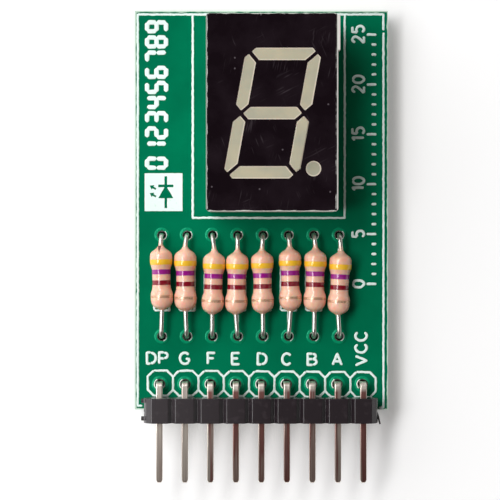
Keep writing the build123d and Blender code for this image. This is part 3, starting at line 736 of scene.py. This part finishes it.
# Bodies turned about a path: radius at shares of the path, as shares of the full radius
OUTLINE_STEPS = 97
RESISTOR_OUTLINE = [
    (0.0, 0.24), (0.008, 0.28), (0.018, 0.37), (0.032, 0.53), (0.05, 0.69), (0.075, 0.83), (0.105, 0.92),
    (0.14, 0.975), (0.18, 1.0), (0.225, 1.0), (0.26, 0.975), (0.29, 0.925), (0.32, 0.865), (0.35, 0.83),
    (0.39, 0.82), (0.58, 0.82), (0.62, 0.83), (0.655, 0.87), (0.69, 0.935), (0.725, 0.98), (0.76, 1.0),
    (0.82, 1.0), (0.85, 0.985), (0.88, 0.935), (0.905, 0.83), (0.925, 0.69), (0.945, 0.52), (0.962, 0.385),
    (0.98, 0.3), (1.0, 0.25),
]
JOINT_OUTLINE = [
    (0.0, 0.3), (0.01, 0.5), (0.43, 0.5), (0.44, 0.98), (0.46, 0.98), (0.5, 0.88), (0.56, 0.77),
    (0.63, 0.67), (0.72, 0.57), (0.82, 0.5), (0.92, 0.45), (0.98, 0.41), (1.0, 0.3),
]
WHOLE_BODY = {"Start": 0.0, "End": 1.0, "Skin": 0.0}


def turned_tree(name, outline, handles="AUTO"):
    """A body turned about each path: outline gives its radius, as a share of the full radius,
    at shares of the path. Start and End keep a part of it, Skin thickens that part between its
    ends, and the surface is a little lumpy."""
    tree, inputs = start_tree(name, ["Radius", "Lump", "Grain", "Start", "End", "Skin"], ["Rings", "Sides"])
    run = add(tree, "GeometryNodeSplineParameter")
    fine = add(tree, "GeometryNodeResampleCurve",
               {"Curve": inputs["Geometry"], "Count": OUTLINE_STEPS}, mode="COUNT")
    marked = add(tree, "GeometryNodeStoreNamedAttribute", {"Geometry": fine, "Name": "along", "Value": run},
                 data_type="FLOAT", domain="POINT")
    part = add(tree, "GeometryNodeTrimCurve", {"Curve": marked, 2: inputs["Start"], 3: inputs["End"]},
               mode="FACTOR")
    again = add(tree, "GeometryNodeResampleCurve", {"Curve": part, "Count": inputs["Rings"]}, mode="COUNT")
    along = add(tree, "GeometryNodeInputNamedAttribute", {"Name": "along"}, data_type="FLOAT")
    shape = add(tree, "ShaderNodeFloatCurve", {"Value": along})
    line = shape.mapping.curves[0]
    while len(line.points) < len(outline):
        line.points.new(0.5, 0.5)
    for point, place in zip(line.points, outline):
        point.location = place
        point.handle_type = handles
    shape.mapping.update()
    radius = add(tree, MATH, {0: shape, 1: inputs["Radius"]}, operation="MULTIPLY")
    other = add(tree, MATH, {0: 1.0, 1: run}, operation="SUBTRACT")
    inner = add(tree, MATH, {0: other, 1: run}, operation="MULTIPLY")
    swell = add(tree, RANGE, {0: inner, 1: 0.0, 2: 0.06, 3: -1.0, 4: 1.0}, interpolation_type="SMOOTHSTEP")
    coated = add(tree, MATH, {0: swell, 1: inputs["Skin"], 2: radius}, operation="MULTIPLY_ADD")
    profile = add(tree, "GeometryNodeCurvePrimitiveCircle", {"Resolution": inputs["Sides"], "Radius": 1.0})
    body = add(tree, "GeometryNodeCurveToMesh",
               {"Curve": again, "Profile Curve": profile, "Scale": coated, "Fill Caps": True})
    lumps = wander(tree, add(tree, "GeometryNodeInputPosition"), inputs["Grain"], inputs["Lump"])
    lumpy = add(tree, "GeometryNodeSetPosition", {"Geometry": body, "Offset": lumps})
    return end_tree(tree, lumpy, inputs)


def wire_tree():
    """Round wire along each path, bent at its corners; the attribute run is the length so far."""
    tree, inputs = start_tree("Bent wire", ["Radius", "Bend", "Step"])
    bent = add(tree, "GeometryNodeFilletCurve", {"Curve": inputs["Geometry"], "Radius": inputs["Bend"],
                                                 "Count": 14, "Limit Radius": True}, mode="POLY")
    fine = add(tree, "GeometryNodeResampleCurve", {"Curve": bent, "Length": inputs["Step"]}, mode="LENGTH")
    run = add(tree, "GeometryNodeSplineParameter").outputs["Length"]
    marked = add(tree, "GeometryNodeStoreNamedAttribute", {"Geometry": fine, "Name": "run", "Value": run},
                 data_type="FLOAT", domain="POINT")
    profile = add(tree, "GeometryNodeCurvePrimitiveCircle", {"Resolution": 24, "Radius": inputs["Radius"]})
    wire = add(tree, "GeometryNodeCurveToMesh",
               {"Curve": marked, "Profile Curve": profile, "Fill Caps": True})
    return end_tree(tree, wire, inputs)


def merged_copy(node, name):
    """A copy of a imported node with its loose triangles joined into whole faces."""
    work = bmesh.new()
    work.from_mesh(frame["nodes"][node].data)
    bmesh.ops.remove_doubles(work, verts=work.verts, dist=0.0005 * MM)
    bmesh.ops.dissolve_limit(work, angle_limit=math.radians(1.0), verts=work.verts, edges=work.edges)
    mesh = bpy.data.meshes.new(name)
    work.to_mesh(mesh)
    work.free()
    if "custom_normal" in mesh.attributes:
        mesh.attributes.remove(mesh.attributes["custom_normal"])
    return place_object(name, mesh)


def ease(piece, width, angle, facets=0):
    """Rounds a piece's edges, or cuts them in flat facets, and makes the result its plain mesh."""
    if not facets:
        piece.data.shade_smooth()
    bevel = piece.modifiers.new("Edge", "BEVEL")
    bevel.width = width
    bevel.segments = facets or 3
    bevel.limit_method = "ANGLE"
    bevel.angle_limit = math.radians(angle)
    bevel.harden_normals = True
    graph = bpy.context.evaluated_depsgraph_get()
    mesh = bpy.data.meshes.new_from_object(piece.evaluated_get(graph), depsgraph=graph)
    piece.modifiers.remove(bevel)
    piece.data = mesh


def axis_of(node):
    """The two ends of a resistor body's axis: the middles of its lowest and highest rims."""
    places = [vertex.co for vertex in frame["nodes"][node].data.vertices]
    low, high = corners(node)
    margin = 0.04 * MM
    rims = ([p for p in places if p.y < low.y + margin], [p for p in places if p.y > high.y - margin])
    return [sum(rim, Vector()) / len(rim) for rim in rims]


# Strokes of the pin marks and numerals, in a box one high: a stroke marked round runs smoothly
ROUND = "round"
GLYPHS = {
    "A": [[(0, 0), (0.34, 1), (0.68, 0)], [(0.12, 0.33), (0.56, 0.33)]],
    "B": [[(0.36, 1), (0, 1), (0, 0), (0.38, 0)], [(0, 0.53), (0.36, 0.53)],
          [ROUND, (0.36, 1), (0.56, 0.88), (0.56, 0.65), (0.36, 0.53)],
          [ROUND, (0.36, 0.53), (0.61, 0.39), (0.61, 0.14), (0.38, 0)]],
    "C": [[ROUND, (0.62, 0.82), (0.36, 1), (0.08, 0.82), (0, 0.5), (0.08, 0.18), (0.36, 0), (0.62, 0.18)]],
    "D": [[(0.28, 1), (0, 1), (0, 0), (0.28, 0)],
          [ROUND, (0.28, 1), (0.54, 0.84), (0.64, 0.5), (0.54, 0.16), (0.28, 0)]],
    "E": [[(0.56, 1), (0, 1), (0, 0), (0.56, 0)], [(0, 0.52), (0.46, 0.52)]],
    "F": [[(0.56, 1), (0, 1), (0, 0)], [(0, 0.52), (0.46, 0.52)]],
    "G": [[ROUND, (0.64, 0.82), (0.36, 1), (0.08, 0.82), (0, 0.5), (0.08, 0.18), (0.36, 0), (0.66, 0.14)],
          [(0.66, 0.14), (0.66, 0.45), (0.4, 0.45)]],
    "P": [[(0, 0), (0, 1), (0.36, 1)], [ROUND, (0.36, 1), (0.58, 0.86), (0.58, 0.6), (0.36, 0.46)],
          [(0.36, 0.46), (0, 0.46)]],
    "V": [[(0, 1), (0.34, 0), (0.68, 1)]],
    "0": [[ROUND, (0.3, 1), (0.06, 0.8), (0, 0.5), (0.06, 0.2), (0.3, 0), (0.54, 0.2), (0.6, 0.5),
           (0.54, 0.8), (0.3, 1)]],
    "1": [[(0.06, 0.78), (0.3, 1), (0.3, 0)]],
    "2": [[ROUND, (0.04, 0.78), (0.3, 1), (0.56, 0.78), (0.44, 0.46), (0, 0)], [(0, 0), (0.6, 0)]],
    "5": [[(0.54, 1), (0.08, 1), (0.04, 0.56)],
          [ROUND, (0.04, 0.56), (0.32, 0.64), (0.58, 0.34), (0.34, 0), (0.02, 0.14)]],
}
SEGMENT_STROKES = {
    "a": ((0, 1), (1, 1)), "b": ((1, 1), (1, 0.5)), "c": ((1, 0.5), (1, 0)), "d": ((0, 0), (1, 0)),
    "e": ((0, 0.5), (0, 0)), "f": ((0, 1), (0, 0.5)), "g": ((0, 0.5), (1, 0.5)),
}
SEGMENTS_OF_DIGIT = ["abcdef", "bc", "abged", "abgcd", "fgbc", "afgcd", "afgedc", "abc", "abcdefg", "abcdfg"]


def on_board(x, y):
    """A point of the board's front."""
    return Vector((x, y, BOARD_TOP))


def text_width(text, width, gap):
    """How long a line of characters is, where one unit of the strokes is so wide."""
    widths = [max(x for stroke in GLYPHS[c] for x, _ in stroke[stroke[0] == ROUND:]) for c in text]
    return width * (sum(widths) + gap * (len(text) - 1))


def write(strokes, rounded, text, start, width, height, gap, upward=False):
    """Adds a line of characters, from its lower left corner, to the strokes and to the round ones."""
    pen = 0.0
    for character in text:
        for stroke in GLYPHS[character]:
            smooth = stroke[0] == ROUND
            if smooth:
                rounded.append(len(strokes))
            points = [((pen + x) * width, y * height) for x, y in stroke[smooth:]]
            if upward:
                points = [(-y, x) for x, y in points]
            strokes.append([on_board(start[0] + x, start[1] + y) for x, y in points])
        pen += text_width(character, 1.0, gap) + gap


def row_drop(x):
    """How far the print beside the header lies too low: it was printed a little turned."""
    return math.tan(math.radians(PRINT_TURN)) * (x - COLUMNS[0])


def outline_paths():
    """The lines around the board, the display, the resistors and the header's holes."""
    inset, shift, gap = 0.38 * MM, -0.06 * MM, 0.2 * MM
    left, right = BOARD_LOW.x + inset + shift, BOARD_HIGH.x - inset + shift
    low, high = BOARD_LOW.y + inset, BOARD_HIGH.y - inset
    right_low = low - row_drop(right)
    break_high, break_low = high - 1.6 * MM, high - 1.8 * MM
    paths = [
        [(STRIP_LOW.x - gap, low), (left, low), (left, high), (right, high), (right, break_high)],
        [(right, break_low), (right, right_low), (STRIP_HIGH.x + gap, right_low)],
    ]
    box_middle, box_half = DISPLAY_MIDDLE.x - 0.25 * MM, DISPLAY_HALF_WIDTH + 1.27 * MM
    box_low = DISPLAY_LOW.y - 0.5 * MM
    paths.append([(box_middle - box_half, high), (box_middle - box_half, box_low),
                  (box_middle + box_half, box_low), (box_middle + box_half, high)])
    side, cut, tall = PITCH / 2, 0.6 * MM, 2.52 * MM
    foot, nudge = STRIP_HIGH.y + 0.12 * MM, 0.05 * MM
    octagon = [(cut - side, tall), (side - cut, tall), (side, tall - cut), (side, cut), (side - cut, 0),
               (cut - side, 0), (-side, cut), (-side, tall - cut), (cut - side, tall)]
    paths += [[(x + nudge + dx, foot - row_drop(x + dx) + dy) for dx, dy in octagon] for x in COLUMNS]
    half_width, half_length, tail = 0.76 * MM, 2.475 * MM, 3.76 * MM
    middle = RESISTOR_MIDDLE_Y
    for x in RESISTOR_X:
        paths.append([(x - half_width, middle - half_length), (x + half_width, middle - half_length),
                      (x + half_width, middle + half_length), (x - half_width, middle + half_length),
                      (x - half_width, middle - half_length)])
        paths.append([(x, middle - half_length), (x, middle - tail)])
        paths.append([(x, middle + half_length), (x, middle + tail)])
    return [[on_board(*point) for point in path] for path in paths]


def pin_mark_strokes():
    """The mark of each pin above its hole, some a little to one side, and the supply's mark
    reading upward."""
    width, height, rise, gap = 1.36 * MM, 1.12 * MM, 2.06 * MM, 0.26
    nudges = {"dp": -0.29 * MM, "g": -0.07 * MM, "f": 0.1 * MM, "d": 0.09 * MM, "vcc": -0.15 * MM}
    strokes, rounded = [], []
    for name, column in zip(PIN_NAMES, COLUMNS):
        text = name.upper()
        upward = name == "vcc"
        x = column + nudges.get(name, 0.0)
        left = x + height / 2 if upward else x - text_width(text, width, gap) / 2
        start = (left, HEADER_Y + rise - row_drop(x))
        write(strokes, rounded, text, start, width, height, gap, upward)
    return strokes, rounded


def scale_strokes():
    """A millimetre scale up the board's right side, numbered at every fifth tick."""
    strokes, rounded = [], []
    edge, first = BOARD_HIGH.x - 1.15 * MM, BOARD_MIDDLE.y - 7.4 * MM
    last_tick, long_tick, short_tick, number_gap = 25, 1.0 * MM, 0.5 * MM, 1.25 * MM
    size, gap = 1.15 * MM, 0.3
    for tick in range(last_tick + 1):
        y = first + tick * MM
        numbered = tick % 5 == 0
        strokes.append([on_board(edge, y), on_board(edge - (long_tick if numbered else short_tick), y)])
        if numbered:
            text = str(tick)
            start = (edge - number_gap, y - text_width(text, size, gap) / 2)
            write(strokes, rounded, text, start, size, size, gap, upward=True)
    return strokes, rounded


def numeral_strokes():
    """Bold seven segment numerals up the board's left side."""
    strokes = []
    wide, high, step = 0.9 * MM, 1.9 * MM, 1.52 * MM
    left, first = BOARD_LOW.x + 3.15 * MM, BOARD_MIDDLE.y + 4.25 * MM
    for number, segments in enumerate(SEGMENTS_OF_DIGIT):
        for segment in segments:
            strokes.append([on_board(left - y * high, first + number * step + x * wide)
                            for x, y in SEGMENT_STROKES[segment]])
    return strokes


def diode_paths():
    """A white square with the sign of a light-emitting diode left open in it, reading upward."""
    side = 3.8 * MM
    middle = Vector((BOARD_LOW.x + 2.9 * MM, BOARD_MIDDLE.y + 1.8 * MM, 0.0))
    square = [(-0.5, -0.5), (0.5, -0.5), (0.5, 0.5), (-0.5, 0.5)]
    half_wire, bar, wing, back, front, end = 0.035, 0.07, 0.2, -0.16, 0.13, 0.42
    upper = [(-end, half_wire), (back, half_wire), (back, wing), (front, half_wire), (front, wing),
             (front + bar, wing), (front + bar, half_wire), (end, half_wire)]
    diode = upper + [(x, -y) for x, y in reversed(upper)]
    arrow = [(0.0, -0.025), (0.09, -0.025), (0.09, -0.07), (0.19, 0.0), (0.09, 0.07), (0.09, 0.025),
             (0.0, 0.025)]
    lowered, arrows_x, arrows_y = 0.06, (-0.12, 0.08), 0.2
    turn = Matrix.Rotation(math.radians(60), 2)
    arrows = [[turn @ Vector(p) + Vector((x, arrows_y)) for p in arrow] for x in arrows_x]
    shapes = [square, [(x, y - lowered) for x, y in diode], *arrows]
    return [[middle + Vector((-p[1] * side, p[0] * side, 0.0)) for p in shape] for shape in shapes]


# Pieces


class MODULE_OT_board(bpy.types.Operator):
    """Finishes the circuit board and its plated holes"""
    bl_idname = "module.board"
    bl_label = "Board"

    def execute(self, context):
        look = context.scene.module_board
        dress(frame["nodes"]["circuit_board"], mask_material(look))
        barrels = barrel_material("tinned_copper_reflowed", look.tin, look.stain, 1.0, 0.15)
        dress(frame["nodes"]["plated_holes"], barrels)
        self.make_lips(look)
        return {"FINISHED"}

    def make_lips(self, look):
        """A pale bead of matt tin on one side of each open hole, a painted highlight that stands for the
        glint on the hole's rim.
        """
        tin = barrel_material("tinned_copper_matt", look.matt_tin, look.stain, 0.2, 0.42)
        # The arcs lie where the glint shows: on the left of the header's holes and on the right of the
        # resistors'
        header_arc, resistor_arc, steps = (120, 225), (-70, 50), 20
        arcs = [(x, HEADER_Y, HEADER_FOOT, *header_arc) for x in COLUMNS]
        arcs += [(x, y, RESISTOR_FOOT, *resistor_arc) for x in RESISTOR_X for y in RESISTOR_ROWS]
        level = BOARD_TOP + look.lip_rise - look.lip
        paths = []
        for x, y, foot, first, last in arcs:
            radius = foot - BORE_INSET + look.lip_gap
            turns = [math.radians(first + (last - first) * i / steps) for i in range(steps + 1)]
            paths.append([Vector((x + radius * math.cos(turn), y + radius * math.sin(turn), level))
                          for turn in turns])
        sizes = {"Radius": look.lip, "Bend": 0.0, "Step": look.lip / 2}
        keep_piece(grow(path_object("hole_lips", paths), wire_tree(), sizes, tin), "tinned_copper")


class MODULE_OT_print(bpy.types.Operator):
    """Prints the outlines, pin marks, scale, numerals and diode sign in white ink"""
    bl_idname = "module.print"
    bl_label = "Print"

    def execute(self, context):
        look = context.scene.module_print
        ink = ink_material(look)
        strokes = stroke_tree()
        lines = {
            "print_outlines": ((outline_paths(), ()), look.line, 1.0),
            "print_pin_marks": (pin_mark_strokes(), look.letter, 0.6),
            "print_scale": (scale_strokes(), look.scale_line, 0.6),
            "print_numerals": ((numeral_strokes(), ()), look.bold, 0.6),
        }
        pieces = []
        for name, (paths, width, raggedness) in lines.items():
            sizes = {"Width": width, "Height": look.height, "Ragged": look.ragged * raggedness,
                     "Grain": look.grain, "Seed": look.seed}
            pieces.append(grow(path_object(name, *paths), strokes, sizes, ink))
        sign = path_object("print_diode_sign", diode_paths())
        for spline in sign.data.splines:
            spline.use_cyclic_u = True
        sizes = {"Height": look.height, "Ragged": look.ragged * 0.4, "Grain": look.grain,
                 "Step": look.line * 0.3}
        pieces.append(grow(sign, field_tree(), sizes, ink))
        keep_piece(pieces[0], "white_print", "board_print")
        for piece in pieces[1:]:
            keep_piece(piece, "white_print")
        return {"FINISHED"}


class MODULE_OT_header(bpy.types.Operator):
    """Makes the snapped header strip, its burrs and its square pins"""
    bl_idname = "module.header"
    bl_label = "Header"

    def execute(self, context):
        look = context.scene.module_header
        plastic = strip_material(look)
        strip = merged_copy("header_strip", "header_strip_moulded")
        ease(strip, look.edge, 35.0, facets=2)
        self.roughen_ends(strip.data, look)
        dress(strip, plastic)
        keep_piece(strip, "black_nylon", "header_strip")
        self.make_burrs(plastic)
        tinned = pin_material(look)
        for name in PIN_NAMES:
            pin = merged_copy(f"header_pin_{name}", f"header_pin_{name}_drawn")
            ease(pin, look.pin_edge, 60.0)
            dress(pin, tinned)
            keep_piece(pin, "tinned_brass", f"header_pin_{name}")
        return {"FINISHED"}

    def roughen_ends(self, mesh, look):
        """Breaks up the two snapped ends of the strip."""
        draws = random.Random(look.seed)
        work = bmesh.new()
        work.from_mesh(mesh)
        reach = 0.02 * MM
        ends = [face for face in work.faces if face.calc_center_median().x < STRIP_LOW.x + reach
                or face.calc_center_median().x > STRIP_HIGH.x - reach]
        edges = list({edge for face in ends for edge in face.edges})
        cut = bmesh.ops.subdivide_edges(work, edges=edges, cuts=5, use_grid_fill=True)
        middle_x = (STRIP_LOW.x + STRIP_HIGH.x) / 2
        for vertex in [item for item in cut["geom_inner"] if isinstance(item, bmesh.types.BMVert)]:
            inward = 1 if vertex.co.x < middle_x else -1
            vertex.co.x += inward * draws.uniform(-0.1, 1.0) * look.break_depth
        work.to_mesh(mesh)
        work.free()

    def make_burrs(self, plastic):
        """Two stubs on the left end and a torn whisker on the right, left by snapping."""
        tree = wire_tree()
        level = STRIP_HIGH.z - 1.1 * MM
        left, right, low = STRIP_LOW.x, STRIP_HIGH.x, STRIP_LOW.y
        stubs = [[Vector((left + 0.3 * MM, y, level)), Vector((left - 0.25 * MM, y + 0.03 * MM, level))]
                 for y in (STRIP_HIGH.y - 0.3 * MM, low + 0.42 * MM)]
        bends = ((-0.1, 1.1), (0.06, 0.6), (0.14, 0.2), (0.22, -0.12))
        whisker = [Vector((right + x * MM, low + y * MM, level)) for x, y in bends]
        burrs = {"header_stubs": (stubs, 0.22 * MM), "header_whisker": ([whisker], 0.09 * MM)}
        for name, (paths, radius) in burrs.items():
            sizes = {"Radius": radius, "Bend": radius, "Step": radius / 3}
            keep_piece(grow(path_object(name, paths), tree, sizes, plastic), "black_nylon")


class MODULE_OT_resistors(bpy.types.Operator):
    """Makes the lacquered resistors, their colour bands and their bent wires"""
    bl_idname = "module.resistors"
    bl_label = "Resistors"

    def execute(self, context):
        look = context.scene.module_resistors
        axes = [axis_of(f"resistor_body_{name}") for name in RESISTOR_NAMES]
        body = turned_tree("Lacquered resistor", RESISTOR_OUTLINE)
        sizes = dict(WHOLE_BODY, Radius=look.bulge, Lump=look.lump, Grain=0.9 * MM,
                     Rings=OUTLINE_STEPS, Sides=40)
        lacquer = lacquer_material(look, axes[0][1])
        bodies = grow(path_object("resistor_bodies", axes), body, sizes, lacquer)
        keep_piece(bodies, "peach_lacquer", *[f"resistor_body_{name}" for name in RESISTOR_NAMES])
        # Each band's place and width, as shares of the body, and how metallic its paint is
        bands = {"yellow": (0.745, 0.088, 0.0), "violet": (0.594, 0.08, 0.0), "brown": (0.427, 0.077, 0.0),
                 "gold": (0.211, 0.042, 0.4)}
        for band, (place, width, metallic) in bands.items():
            paint = paint_material(f"{band}_band_paint", getattr(look, band), metallic)
            spans = dict(sizes, Start=place - width / 2, End=place + width / 2, Skin=look.paint, Rings=24)
            ring = grow(path_object(f"resistor_bands_{band}_painted", axes), body, spans, paint)
            keep_piece(ring, f"{band}_paint", f"resistor_bands_{band}")
        self.make_wires(look, axes)
        return {"FINISHED"}

    def make_wires(self, look, axes):
        """Both wires of each resistor, from inside its body down through the board."""
        tin = wire_material(look)
        paths = []
        for name, x, ends in zip(RESISTOR_NAMES, RESISTOR_X, axes):
            wire_low, wire_high = corners(f"resistor_leads_{name}")
            radius = wire_high.z - ends[1].z
            for end, y in zip(ends, RESISTOR_ROWS):
                corner = Vector((x, y, end.z))
                inside = end - (corner - end).normalized() * WIRE_EMBED
                paths.append([inside, corner, Vector((x, y, wire_low.z))])
        sizes = {"Radius": radius, "Bend": look.bend, "Step": radius / 3}
        wires = grow(path_object("resistor_wires", paths), wire_tree(), sizes, tin)
        keep_piece(wires, "tinned_wire", *[f"resistor_leads_{name}" for name in RESISTOR_NAMES])
        for node in ("display_pins_lower", "display_pins_upper"):
            dress(frame["nodes"][node], tin)


class MODULE_OT_display(bpy.types.Operator):
    """Finishes the display's case, black face, segments and inner pieces"""
    bl_idname = "module.display"
    bl_label = "Display"

    def execute(self, context):
        look = context.scene.module_display
        nodes = frame["nodes"]
        shell = merged_copy("display_shell", "display_shell_moulded")
        ease(shell, look.edge, 60.0)
        dress(shell, shell_material(look))
        keep_piece(shell, "white_shell", "display_shell")
        dress(nodes["display_face_ink"], face_material(look))
        segment_resin = resin_material("milky_resin_cast", look, look.resin)
        point_resin = resin_material("milky_resin_cast_grey", look, look.point_resin)
        for node in SEGMENT_NODES:
            piece = merged_copy(node, f"{node}_resin")
            self.mark_rim(piece.data, look.rim)
            dress(piece, point_resin if node == "decimal_point" else segment_resin)
            keep_piece(piece, "milky_resin", node)
        dress(nodes["led_chips"], inner_material("light_chip_diced", look.chip, linear("C08A4A")))
        dress(nodes["led_carrier"], inner_material("carrier_laminate_bare", look.carrier, linear("A5976A")))
        dress(nodes["display_potting"], inner_material("potting_resin_cast", look.potting, linear("C9BB92")))
        return {"FINISHED"}

    def mark_rim(self, mesh, width):
        """Insets a segment's front, and marks its outer edge with the attribute rim."""
        work = bmesh.new()
        work.from_mesh(mesh)
        top = max(vertex.co.z for vertex in work.verts) - 0.001 * MM
        fronts = [face for face in work.faces if face.normal.z > 0.9 and face.calc_center_median().z > top]
        bmesh.ops.inset_individual(work, faces=fronts, thickness=width, use_even_offset=True)
        # The inset is wider than the corners' rounding, so its corners are drawn together
        corner_points = list({vertex for face in fronts for vertex in face.verts})
        bmesh.ops.remove_doubles(work, verts=corner_points, dist=width / 2)
        work.verts.index_update()
        inner = {vertex.index for vertex in corner_points if vertex.is_valid}
        work.to_mesh(mesh)
        work.free()
        rim = mesh.attributes.new("rim", "FLOAT", "POINT")
        for vertex in mesh.vertices:
            rim.data[vertex.index].value = 0.0 if vertex.index in inner else 1.0


class MODULE_OT_solder(bpy.types.Operator):
    """Makes the soldered joints on the back"""
    bl_idname = "module.solder"
    bl_label = "Solder"

    def execute(self, context):
        look = context.scene.module_solder
        solder = solder_material(look)
        joint = turned_tree("Soldered joint", JOINT_OUTLINE, "VECTOR")
        draws = random.Random(look.seed)
        groups = {"header_solder": len(PIN_NAMES), "resistor_solder": len(RESISTOR_NAMES),
                  "display_solder": DISPLAY_ROW_PINS}
        for node, columns in groups.items():
            places, rows, foot = joint_grid(node, columns)
            low = corners(node)[0].z
            paths = []
            for x in places:
                for y in rows if rows[1] - rows[0] > foot else rows[:1]:
                    end = low + draws.uniform(-0.1, 0.12) * MM
                    paths.append([Vector((x, y, PAD_LEVEL + look.plug)), Vector((x, y, end))])
            sizes = dict(WHOLE_BODY, Radius=foot, Lump=look.lump, Grain=0.7 * MM, Rings=60, Sides=28)
            joints = grow(path_object(f"{node}_joints", paths), joint, sizes, solder)
            keep_piece(joints, "solder", node)
        return {"FINISHED"}


class MODULE_OT_stage(bpy.types.Operator):
    """Sets the floor, the studio light and the camera straight above the board"""
    bl_idname = "module.stage"
    bl_label = "Stage"

    def execute(self, context):
        look = context.scene.module_stage
        self.make_floor(look)
        self.make_light(look)
        camera = place_object("camera", bpy.data.cameras.new("camera"))
        camera.data.lens = camera.data.sensor_width * look.distance / look.view
        camera.data.clip_start = 10 * MM
        camera.location = (look.across, look.along, BOARD_TOP + look.distance)
        context.scene.camera = camera
        context.scene.view_settings.view_transform = "Standard"
        return {"FINISHED"}

    def make_floor(self, look):
        """A pale floor that is white to the eye and keeps the shadow."""
        half, glow_share, mottle = 1.5, 0.25, 0.98
        mesh = bpy.data.meshes.new("floor")
        mesh.from_pydata([(-half, -half, 0), (half, -half, 0), (half, half, 0), (-half, half, 0)], [],
                         [(0, 1, 2, 3)])
        floor = place_object("floor", mesh)
        material, tree, shader, place = start_material("paper_backdrop_white", Roughness=0.9, IOR=1.3)
        tone = add(tree, NOISE, {"Vector": place, "Scale": per_mm(60.0)})
        darker = [channel * mottle for channel in look.floor[:3]] + [1.0]
        paper = add(tree, MIX, {0: tone, 6: look.floor[:], 7: darker}, data_type="RGBA").outputs[2]
        feed(tree, shader, paper)
        glow = add(tree, MATH, {0: shown_rays(tree), 1: glow_share}, operation="MULTIPLY")
        shader.inputs["Emission Color"].default_value = (1, 1, 1, 1)
        tree.links.new(glow.outputs[0], shader.inputs["Emission Strength"])
        dress(floor, material)

    def make_light(self, look):
        """A softbox high on the left, a dim room that grows bright toward its upper left side, and a low
        white backdrop beyond the floor."""
        lamp = bpy.data.lights.new("softbox", "AREA")
        lamp.shape = "RECTANGLE"
        lamp.size, lamp.size_y = 0.54, 0.13
        lamp.energy = 2.2
        softbox = place_object("softbox", lamp)
        softbox.location = (-0.235, 0.1, 0.455)
        softbox.rotation_euler = (-softbox.location).to_track_quat("-Z", "Y").to_euler()
        world = bpy.data.worlds.new("room")
        world.use_nodes = True
        tree = world.node_tree
        toward = add(tree, "ShaderNodeTexCoord").outputs["Generated"]
        bright_side = (-0.87, 0.5, 0.0)
        facing = add(tree, VECTOR_MATH, {0: toward, 1: bright_side}, operation="DOT_PRODUCT")
        left = add(tree, RANGE, {0: facing.outputs["Value"], 1: 0.3, 2: 0.95})
        room = add(tree, MIX, {0: left, 6: look.room_right[:], 7: look.room_left[:]},
                   data_type="RGBA").outputs[2]
        power = add(tree, RANGE, {0: left, 3: 1.0, 4: look.window})
        low = add(tree, RANGE, {0: add(tree, AXES, {0: toward}).outputs["Z"], 1: 0.2, 2: 0.12})
        backdrop = add(tree, MATH, {0: shown_rays(tree), 1: low}, operation="MULTIPLY")
        background = tree.nodes["Background"].inputs
        shown = add(tree, MIX, {0: backdrop, 6: room, 7: (1, 1, 1, 1)}, data_type="RGBA").outputs[2]
        strength = add(tree, MIX, {0: backdrop, 2: power, 3: 1.0})
        tree.links.new(shown, background["Color"])
        tree.links.new(strength.outputs[0], background["Strength"])
        bpy.context.scene.world = world


class MODULE_PT_panel(bpy.types.Panel):
    """Lists the pieces of the module"""
    bl_label = "Module"
    bl_idname = "MODULE_PT_panel"
    bl_space_type = "VIEW_3D"
    bl_region_type = "UI"
    bl_category = "Module"

    def draw(self, context):
        for operator in OPERATORS:
            self.layout.operator(operator.bl_idname)


LOOKS = {
    "module_board": BoardLook, "module_print": PrintLook, "module_header": HeaderLook,
    "module_resistors": ResistorLook, "module_display": DisplayLook, "module_solder": SolderLook,
    "module_stage": StageLook,
}
OPERATORS = [MODULE_OT_board, MODULE_OT_print, MODULE_OT_header, MODULE_OT_resistors, MODULE_OT_display,
             MODULE_OT_solder, MODULE_OT_stage]
CLASSES = [*LOOKS.values(), *OPERATORS, MODULE_PT_panel]


def register():
    """Registers the looks, the operators and the panel."""
    for cls in CLASSES:
        bpy.utils.register_class(cls)
    for name, look in LOOKS.items():
        setattr(bpy.types.Scene, name, PointerProperty(type=look))


def unregister():
    """Takes back what register added."""
    for name in LOOKS:
        delattr(bpy.types.Scene, name)
    for cls in reversed(CLASSES):
        bpy.utils.unregister_class(cls)


def main():
    """Makes every piece and the stage."""
    register()
    bpy.ops.module.board()
    bpy.ops.module.print()
    bpy.ops.module.header()
    bpy.ops.module.resistors()
    bpy.ops.module.display()
    bpy.ops.module.solder()
    bpy.ops.module.stage()


if __name__ == "__main__":
    main()
